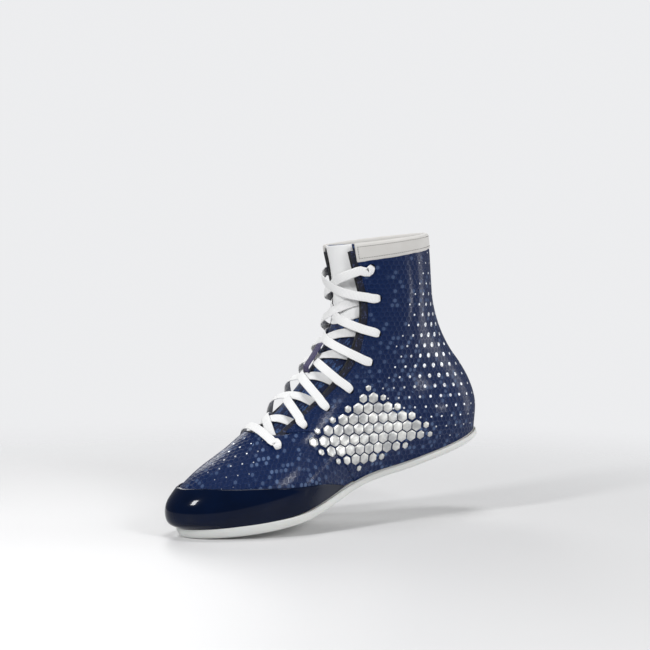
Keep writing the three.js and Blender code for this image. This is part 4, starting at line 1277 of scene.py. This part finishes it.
class Finish:
    """A material on the Principled shader. Keyword values are set on the shader's own sockets."""

    def __init__(self, name, **values):
        self.material = bpy.data.materials.new(name)
        self.material.use_nodes = True
        self.tree = self.material.node_tree
        self.shader = self.tree.nodes["Principled BSDF"]
        for key, value in values.items():
            self.shader.inputs[key.replace("_", " ").title().replace("Ior", "IOR")].default_value = value

    def node(self, kind, settings=None, inputs=(), output=0):
        node = self.tree.nodes.new(kind)
        for key, value in (settings or {}).items():
            setattr(node, key, value)
        items = inputs.items() if isinstance(inputs, dict) else enumerate(inputs)
        for key, value in items:
            self.join(value, node.inputs[key])
        return Value(self, node.outputs[output])

    def join(self, value, socket):
        if isinstance(value, Value):
            self.tree.links.new(value.socket, socket)
        else:
            socket.default_value = value

    def set(self, socket, value):
        self.join(value, self.shader.inputs[socket])

    def chart(self):
        """(s, t) in mm from the chart."""
        places = self.node("ShaderNodeUVMap", dict(uv_map="chart"))
        split = self.node("ShaderNodeSeparateXYZ", inputs=[places])
        return split, Value(self, split.socket.node.outputs[1])

    def place(self):
        """Places in mm from the object's own coordinates."""
        return self.node("ShaderNodeVectorMath", dict(operation="SCALE"),
                         {0: self.node("ShaderNodeTexCoord", output="Object"), "Scale": 1000.0})

    def join_xyz(self, x, y, z=0.0):
        return self.node("ShaderNodeCombineXYZ", inputs=[x, y, z])

    def noise(self, vector, scale, detail=2.0, roughness=0.5):
        return self.node("ShaderNodeTexNoise", None,
                         {"Vector": vector, "Scale": scale, "Detail": detail, "Roughness": roughness})

    def chance(self, vector):
        return self.node("ShaderNodeTexWhiteNoise", None, {"Vector": vector})

    def attribute(self, name):
        return self.node("ShaderNodeAttribute", dict(attribute_name=name), output="Fac")

    def mix(self, factor, a, b):
        return self.node("ShaderNodeMix", dict(data_type="RGBA"), {0: factor, 6: a, 7: b}, output=2)

    def bump(self, height, millimetres, strength=1.0):
        n = self.node("ShaderNodeBump", None, {"Height": height, "Distance": millimetres * 0.001,
                                               "Strength": strength})
        self.set("Normal", n)

    def lattice(self, x, y, width, height):
        """The offset from the nearest point of two staggered grids, and that point."""
        ax, ay = x.wrap(width), y.wrap(height)
        bx, by = (x + width / 2).wrap(width), (y + height / 2).wrap(height)
        near = (ax * ax + ay * ay) < (bx * bx + by * by)
        gx, gy = bx + (ax - bx) * near, by + (ay - by) * near
        return gx, gy, self.join_xyz(x - gx, y - gy)

    def cells(self, x, y, pitch):
        """Honeycomb cells: 0 at the middle and 1 on the border, and each cell's own place."""
        gx, gy, cell = self.lattice(x, y, pitch, pitch * sqrt(3))
        edge = abs(gx).larger(abs(gx) * 0.5 + abs(gy) * (sqrt(3) / 2)) / (pitch / 2)
        return edge, cell


MATERIALS = {}
print("finish helpers ready")

# %% [markdown]
# ## Coated textile
# The upper is a navy film over fabric. A honeycomb is embossed in it, rows of bright dots are printed
# over it, and some cells of the honeycomb show lighter. The honeycomb is bump and gloss, since its
# ridges are only a fraction of a millimetre high, and its ridges also carry a painted highlight in a
# lighter blue. The dots take their size from the vertices.

# %% Coated textile
HONEYCOMB = 4.3  # across one cell, in mm
DOTS_APART, ROWS_APART = 10.4, 16.6  # one of the two staggered grids of dots, in mm


def coated():
    f = Finish("coated_navy", coat_roughness=0.16, coat_ior=1.4, specular_ior_level=0.16)
    s, t = f.chart()
    edge, cell = f.cells(s, t, HONEYCOMB)
    ridge = edge.step(0.72, 0.98)
    gx, gy, _ = f.lattice(s, t, DOTS_APART, ROWS_APART)
    radius = f.attribute("dots")
    far = (gx * gx + gy * gy) ** 0.5
    dot = (radius - far).step(-0.12, 0.12) * (radius > 0.2)
    where = f.join_xyz(s, t)
    cloud = f.noise(where, 0.035, 2.0)
    pick = f.chance(cell)
    specks = f.attribute("specks")
    share = specks * (0.22 + 0.42 * cloud.step(0.35, 0.65))
    lit = (share - pick).step(0.0, 0.04) * (0.78 - edge).step(0.0, 0.2)
    fine = f.noise(where, 1.6, 3.0)
    base = f.mix(fine.step(0.3, 0.75), rgb(0, 20, 56), rgb(2, 34, 84))
    # Painted highlight: the honeycomb's raised ridges are painted a lighter blue everywhere, standing in
    # for the light they catch.
    base = f.mix(ridge * 0.3, base, rgb(20, 52, 104))
    base = f.mix(lit * (0.3 + pick * 1.1), base, rgb(98, 120, 158))
    base = f.mix(dot, base, rgb(236, 240, 246))
    f.set("Base Color", base)
    f.set("Metallic", dot * 0.45)
    f.set("Roughness", 0.42 - dot * 0.12 - ridge * 0.12 + fine * 0.1)
    f.set("Coat Weight", 0.14 + ridge * 0.3)
    f.bump(ridge * 0.5 + edge * edge * 0.5 + fine * 0.14 + dot * 0.25, 0.5, 1.0)
    return f.material


MATERIALS["coated"] = coated()
print("honeycomb", HONEYCOMB, "mm, dots", DOTS_APART, "by", ROWS_APART, "mm")

# %% [markdown]
# ## Glossy rand
# The rand is dark, polished rubber. A clear coat gives it small, sharp highlights, and a slow haze in
# the bump keeps them from being perfect, as moulded rubber is a little uneven.

# %% Glossy rand
def glossy_rand():
    f = Finish("glossy_rand", coat_weight=1.0, coat_roughness=0.03, coat_ior=1.22, specular_ior_level=0.04)
    p = f.place()
    haze = f.noise(p, 0.05, 3.0)
    fine = f.noise(p, 2.2, 2.0)
    f.set("Base Color", f.mix(haze, rgb(0, 8, 28), rgb(2, 18, 48)))
    f.set("Roughness", 0.12 + fine * 0.08)
    f.bump(haze * 0.6 + fine * 0.05, 0.12, 0.35)
    return f.material


MATERIALS["rand"] = glossy_rand()
print(MATERIALS["rand"].name)

# %% [markdown]
# ## Silver foil
# The plates are metal foil on film: nearly metallic, with clouds in the gloss where it was pressed.

# %% Silver foil
def foil():
    f = Finish("silver_foil")
    s, t = f.chart()
    where = f.join_xyz(s, t)
    cloud, grain = f.noise(where, 0.09, 4.0, 0.6), f.noise(where, 2.8, 2.0)
    f.set("Base Color", f.mix(cloud.step(0.3, 0.7), rgb(176, 178, 180), rgb(236, 236, 232)))
    f.set("Metallic", 0.92 - cloud * 0.1)
    f.set("Roughness", 0.24 + cloud * 0.16 + grain * 0.08)
    f.bump(grain * 0.3 + cloud, 0.08, 0.6)
    return f.material


MATERIALS["foil"] = foil()
print(MATERIALS["foil"].name)

# %% [markdown]
# ## White rubber
# The outsole is matt white rubber, with a fine grain and faint scuffs, which a plain colour would
# miss.

# %% White rubber
def rubber():
    f = Finish("white_rubber", subsurface_weight=0.05)
    p = f.place()
    fine, broad = f.noise(p, 1.4, 3.0), f.noise(p, 0.06, 3.0)
    scuff = f.noise(p, 0.35, 5.0, 0.7).step(0.58, 0.72)
    base = f.mix(broad, rgb(222, 222, 219), rgb(208, 209, 207))
    f.set("Base Color", f.mix(scuff * 0.16, base, rgb(186, 186, 184)))
    f.set("Roughness", 0.44 + fine * 0.16)
    f.bump(fine, 0.06, 0.6)
    return f.material


MATERIALS["rubber"] = rubber()
print(MATERIALS["rubber"].name)

# %% [markdown]
# ## Suede and board
# The collar is a soft, brushed cloth, and the stiffeners inside are pressed board. Both are rough and
# slightly mottled, and a sheen gives the nap's pale edge.

# %% Suede and board
def suede(name, a, b):
    f = Finish(name, sheen_weight=0.35, sheen_roughness=0.5)
    p = f.place()
    fine, broad = f.noise(p, 3.4, 4.0, 0.7), f.noise(p, 0.09, 3.0)
    f.set("Base Color", f.mix(broad * 0.6 + fine * 0.4, a, b))
    f.set("Roughness", 0.72 + fine * 0.18)
    f.bump(fine + broad * 2.0, 0.09, 0.7)
    return f.material


MATERIALS["collar"] = suede("collar_suede", rgb(196, 194, 190), rgb(218, 216, 213))
MATERIALS["counter"] = suede("stiffener_board", rgb(128, 122, 112), rgb(156, 150, 138))
print("collar, counter")

# %% [markdown]
# ## Thread
# Sewing thread is too thin for a weave to show. A noise stands for its twist.

# %% Thread
def thread(name, colour, dark):
    f = Finish(name)
    p = f.place()
    twist = f.noise(p, 3.0, 2.0)
    f.set("Base Color", f.mix(twist, dark, colour))
    f.set("Roughness", 0.6 + twist * 0.2)
    f.bump(twist, 0.06, 0.6)
    return f.material


MATERIALS["tip"] = thread("lace_tip_film", rgb(236, 238, 240), rgb(214, 216, 220))
MATERIALS["stitch"] = thread("collar_thread", rgb(132, 128, 124), rgb(92, 89, 86))
MATERIALS["navy_stitch"] = thread("upper_thread", rgb(36, 58, 112), rgb(14, 26, 62))
print("tip, stitch, navy stitch")

# %% [markdown]
# ## Woven bands
# The lace and the keeper are woven. In a plain weave the threads across and along are pushed up in
# turn, so the height is the larger of two rounded waves that swap from cell to cell. The colour is
# darker where the height is low: a painted shade on each thread's flanks and on the thread that lies
# under.

# %% Woven bands
def woven(name, pale, dark, wide, long):
    """A plain weave: warp ends across and weft picks along, each pushed up in turn."""
    f = Finish(name, sheen_weight=0.25)
    s, t = f.chart()
    where = f.join_xyz(s, t)
    turn = (s / wide).floor() + (t / long).floor()
    odd = abs(turn.wrap(2.0))
    x, y = s.wrap(wide) / (wide / 2), t.wrap(long) / (long / 2)
    warp = (1 - x * x) * (0.55 + 0.45 * odd)
    weft = (1 - y * y) * (1 - 0.45 * odd)
    height = warp.larger(weft)
    fine = f.noise(where, 4.0, 2.0)
    # Painted shade: the colour runs from the dark one to the pale one with the height, so each thread's
    # flanks and the thread underneath are darker.
    f.set("Base Color", f.mix(height.step(0.15, 0.8), dark, pale))
    f.set("Roughness", 0.74 + fine * 0.2)
    f.bump(height + fine * 0.15, 0.16, 0.8)
    return f.material


# The second colour of each weave is its painted shade, used in the low parts of the weave.
MATERIALS["lace"] = woven("white_lace", rgb(246, 246, 245), rgb(206, 208, 212), 0.95, 1.1)
MATERIALS["keeper"] = woven("keeper_weave", rgb(52, 44, 92), rgb(22, 18, 50), 0.9, 0.8)
print("lace, keeper")

# %% [markdown]
# ## Knitted mesh
# The tongue, the underlays, the tape and the lining are knitted meshes, which differ in hole size and
# colour. One function makes them all: staggered small holes, and some lighter loops by chance.

# %% Knitted mesh
def knit(name, base, fleck, hole, pitch, share):
    """A knitted mesh: staggered small holes and scattered lighter loops."""
    f = Finish(name, sheen_weight=0.2)
    s, t = f.chart()
    gx, gy, cell = f.lattice(s, t, pitch, pitch * 1.5)
    far = ((gx * gx) * 1.0 + (gy * gy) * 1.7) ** 0.5 / (pitch / 2)
    open_ = 1 - far.step(0.28, 0.62)
    pick = f.chance(cell)
    where = f.join_xyz(s, t)
    drift = f.noise(where, 0.12, 2.0)
    fleck_mask = (share * (0.4 + drift * 1.2) - pick).step(0.0, 0.06)
    colour = f.mix(fleck_mask, base, fleck)
    f.set("Base Color", f.mix(open_ * 0.85, colour, hole))
    f.set("Roughness", 0.8 + pick * 0.1)
    f.bump(1 - open_ + pick * 0.3, 0.22, 0.8)
    return f.material


MATERIALS["tongue"] = knit("tongue_knit", rgb(8, 28, 70), rgb(52, 84, 136), rgb(4, 8, 24), 1.9, 0.34)
MATERIALS["mesh"] = knit("eyestay_mesh", rgb(10, 16, 40), rgb(54, 64, 104), rgb(4, 5, 12), 1.1, 0.14)
MATERIALS["tape"] = knit("heel_mesh", rgb(186, 184, 186), rgb(214, 212, 212), rgb(70, 68, 84), 1.4, 0.4)
MATERIALS["lining"] = knit("lining_mesh", rgb(22, 23, 27), rgb(44, 46, 52), rgb(6, 6, 8), 1.7, 0.3)
MATERIALS["footbed"] = knit("footbed_cloth", rgb(30, 32, 38), rgb(56, 60, 70), rgb(12, 13, 16),
                            1.3, 0.4)
print("tongue, mesh, tape, lining, footbed")

# %% [markdown]
# ## Plain panel
# The panel on the tongue is smooth coated cloth. A very fine weave shows only in slanting light.

# %% Plain panel
def plain_panel():
    f = Finish("plain_panel", sheen_weight=0.15)
    s, t = f.chart()
    where = f.join_xyz(s, t)
    fine = f.noise(where, 2.6, 3.0)
    weave = (s * (2 * pi / 0.9)).sine() * (t * (2 * pi / 0.9)).sine()
    f.set("Base Color", f.mix(fine, rgb(232, 233, 234), rgb(246, 246, 245)))
    f.set("Roughness", 0.5 + fine * 0.2)
    f.bump(weave * 0.5 + fine, 0.05, 0.6)
    return f.material


MATERIALS["panel"] = plain_panel()
print(len(MATERIALS), "materials")

# %% [markdown]
# ## Finishing a piece
# A piece needs four things before it is done: its material, its slot, the CAD nodes that it stands
# for, and the body it rides on. A piece that crosses a bend gets no body here; its transform is only
# baked.

# %% Finishing a piece
def finish_piece(o, material, nodes=(), ride=None, bend=None):
    o.data.materials.clear()
    o.data.materials.append(MATERIALS[material])
    if nodes:
        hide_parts(*nodes)
    if bend:
        bend(o)
    else:
        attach(o, ride)


print("slots and bodies are given piece by piece")

# %% [markdown]
# ## Bodies, bends and nodes
# Pieces in front go with the ball's bend, and pieces that reach up the shaft with the ankle's; the
# bend only bakes their transforms. The side scales stay on the foot, and the collar and the panel on
# the shaft.

# %% Bodies, bends and nodes
finish_piece(vamp, "coated", ["vamp_toe", "vamp_flex", "vamp_instep"], bend=bend_ball)
for name in SIDES:
    nodes = [f"quarter_{name}", f"quarter_flex_{name}", f"shaft_{name}"]
    finish_piece(quarters[name], "coated", nodes + (["tendon_flex"] if name == "medial" else []),
                 bend=bend_ankle)
    finish_piece(eyestays[name], "mesh", [f"eyestay_{name}"], bend=bend_ankle)
    finish_piece(foils[name], "foil", [f"foil_{name}"], ride="foot")
finish_piece(rand, "rand", ["toe_rand"], bend=bend_ball)
finish_piece(outsole, "rubber", ["outsole", "midsole", "lasting_board"], bend=bend_ball)
finish_piece(footbed, "footbed", ["sockliner"], bend=bend_ball)
finish_piece(lining_front, "lining", ["lining_toe", "lining_flex"], bend=bend_ball)
finish_piece(lining_back, "lining",
             ["lining_foot", "lining_crease_medial", "lining_crease_lateral", "lining_tendon",
              "lining_shaft"],
             bend=bend_ankle)
finish_piece(collar, "collar", ["collar_band"], ride="shaft")
finish_piece(tape, "tape", ["heel_strip"], bend=bend_ankle)
finish_piece(tongue, "tongue", ["tongue_lower", "tongue_flex", "tongue_upper"],
             bend=bend_ankle)
finish_piece(panel, "panel", ["tongue_label"], ride="shaft")
finish_piece(lace_o, "lace", ["lace"], bend=bend_ankle)
finish_piece(keeper, "keeper", ["lace_keeper"], bend=bend_ankle)
finish_piece(collar_stitches, "stitch", ride="shaft")
finish_piece(upper_stitches, "navy_stitch", bend=bend_ankle)

# %% [markdown]
# ## CAD parts that show as they are
# The stiffeners and the lace tips are hidden or tiny, so the CAD solids themselves stay, with a
# material.

# %% CAD parts that show as they are
kept = {"heel_counter": "counter", "toe_puff": "counter", "lace_tip_medial": "tip",
        "lace_tip_lateral": "tip"}
for node, material in kept.items():
    o = bpy.data.objects[node]
    if not o.material_slots:
        o.data.materials.append(MATERIALS[material])
    for place in o.material_slots:
        place.material = MATERIALS[material]
print("pieces finished")

# %% [markdown]
# ## Floor
# The boot stands on the ball of the foot with its heel raised. It stays level in the frame, because
# the CAD model is, so the floor is a plane tilted by the same angle that touches the forefoot. It
# fades to clear far away and seen from below, so that no edge shows.

# %% Floor
UP = np.array([sin(PITCH), 0, cos(PITCH)])
soles = np.empty(len(outsole.data.vertices) * 3)
outsole.data.vertices.foreach_get("co", soles)
soles = soles.reshape(-1, 3)
touch = soles[(soles @ UP).argmin()]
print("the floor touches at", touch)

bpy.ops.object.select_all(action="DESELECT")
bpy.ops.mesh.primitive_circle_add(vertices=128, radius=6, fill_type="TRIFAN",
                                  location=(touch + [0.0, -touch[1], 0.0]).tolist(), rotation=(0, PITCH, 0))
floor = bpy.context.object
floor.name = "floor"
f = Finish("pale_floor", specular_ior_level=0.25)
far = f.node("ShaderNodeVectorMath", dict(operation="LENGTH"),
             [f.node("ShaderNodeTexCoord", output="Object")], output="Value")
f.set("Base Color", (0.76, 0.76, 0.765, 1))
f.set("Roughness", 0.42)
clear = f.node("ShaderNodeBsdfTransparent")
under = f.node("ShaderNodeNewGeometry", output="Backfacing")
fade = far.step(0.16, 0.95).larger(under)
surface = f.node("ShaderNodeMixShader", None,
                 {0: fade, 1: Value(f, f.shader.outputs[0]), 2: clear})
f.tree.links.new(surface.socket, f.tree.nodes["Material Output"].inputs["Surface"])
floor.data.materials.append(f.material)

# %% [markdown]
# ## Room
# The room is pale and even. What the eye sees behind the boot is bright, while the light it gives is
# low, so that the lamps shape the boot. The Standard view transform keeps white white.

# %% Room
world = bpy.data.worlds.new("pale_room")
bpy.context.scene.world = world
bpy.context.scene.view_settings.view_transform = "Standard"
world.use_nodes = True
tree = world.node_tree
seen = tree.nodes.new("ShaderNodeLightPath").outputs["Is Camera Ray"]
brightness = tree.nodes.new("ShaderNodeMapRange")
brightness.inputs["To Min"].default_value, brightness.inputs["To Max"].default_value = 0.22, 0.88
tree.links.new(seen, brightness.inputs["Value"])
tree.links.new(brightness.outputs[0], tree.nodes["Background"].inputs["Strength"])
tree.nodes["Background"].inputs["Color"].default_value = (0.96, 0.965, 0.98, 1)
print("room", world.name)

# %% [markdown]
# ## Lamps
# Soft lamps stand round the boot: a key in front of the toe, one in front, one above, a tall strip
# for the highlight along the heel, a low one by the floor, and one behind. They are placed as the
# boot stands and turned with the floor.

# %% Lamps
TURN_BACK = Matrix.Rotation(PITCH, 3, "Y")
MIDDLE = Vector((CENTRE * 0.001).tolist())


def stance(x, y, z):
    """A place in the stance, in metres, brought into the frame."""
    return TURN_BACK @ Vector((x, y, z)) + MIDDLE


def lamp(name, place, size, power, target=(0, 0, 0.09), tall=None):
    data = bpy.data.lights.new(name, "AREA")
    data.energy = power
    data.shape = "RECTANGLE"
    data.size, data.size_y = size, tall or size
    o = bpy.data.objects.new(name, data)
    bpy.context.collection.objects.link(o)
    o.location = stance(*place)
    aim = o.location - stance(*target)
    o.rotation_euler = aim.to_track_quat("Z", "Y").to_euler()
    return o


lamp("key", (-1.15, -0.32, 0.8), 0.17, 9.5, tall=0.32)
lamp("front", (0.25, -1.3, 0.75), 0.3, 7)
lamp("top", (0.0, 0.0, 1.5), 0.5, 7.5)
lamp("strip", (1.38, -0.3, 0.35), 0.4, 6, tall=1.0)
lamp("low", (0.9, -0.95, 0.1), 0.14, 1.2)
lamp("back", (0.2, 1.2, 0.7), 0.6, 5)
print(len(bpy.data.lights), "lamps")

# %% [markdown]
# ## Camera
# The camera looks at the boot's side and toe from just over the floor, with a long lens, so that the
# lines of the sole stay calm. It is turned with the floor, too.

# %% Camera
cam_data = bpy.data.cameras.new("camera")
camera = bpy.data.objects.new("camera", cam_data)
bpy.context.collection.objects.link(camera)
bpy.context.scene.camera = camera
AZIMUTH, ELEVATION, AWAY = radians(-30), radians(4), 1.2
back = Vector((sin(AZIMUTH) * cos(ELEVATION), -cos(AZIMUTH) * cos(ELEVATION), sin(ELEVATION)))
right = Vector((cos(AZIMUTH), sin(AZIMUTH), 0))
up = back.cross(right)
turn = Matrix((right, up, back)).transposed()
camera.matrix_world = (TURN_BACK @ turn).to_4x4()
camera.location = stance(*(back * AWAY + Vector((0, 0, 0.09))))
cam_data.lens = 82.4
cam_data.sensor_width = 36
cam_data.shift_x, cam_data.shift_y = -0.0215, 0.0815
cam_data.dof.use_dof = False
print("camera at", [round(c, 3) for c in camera.location])

# %% [markdown]
# ## Update
# The view layer is brought up to date at the end.

# %% Update
bpy.context.view_layer.update()
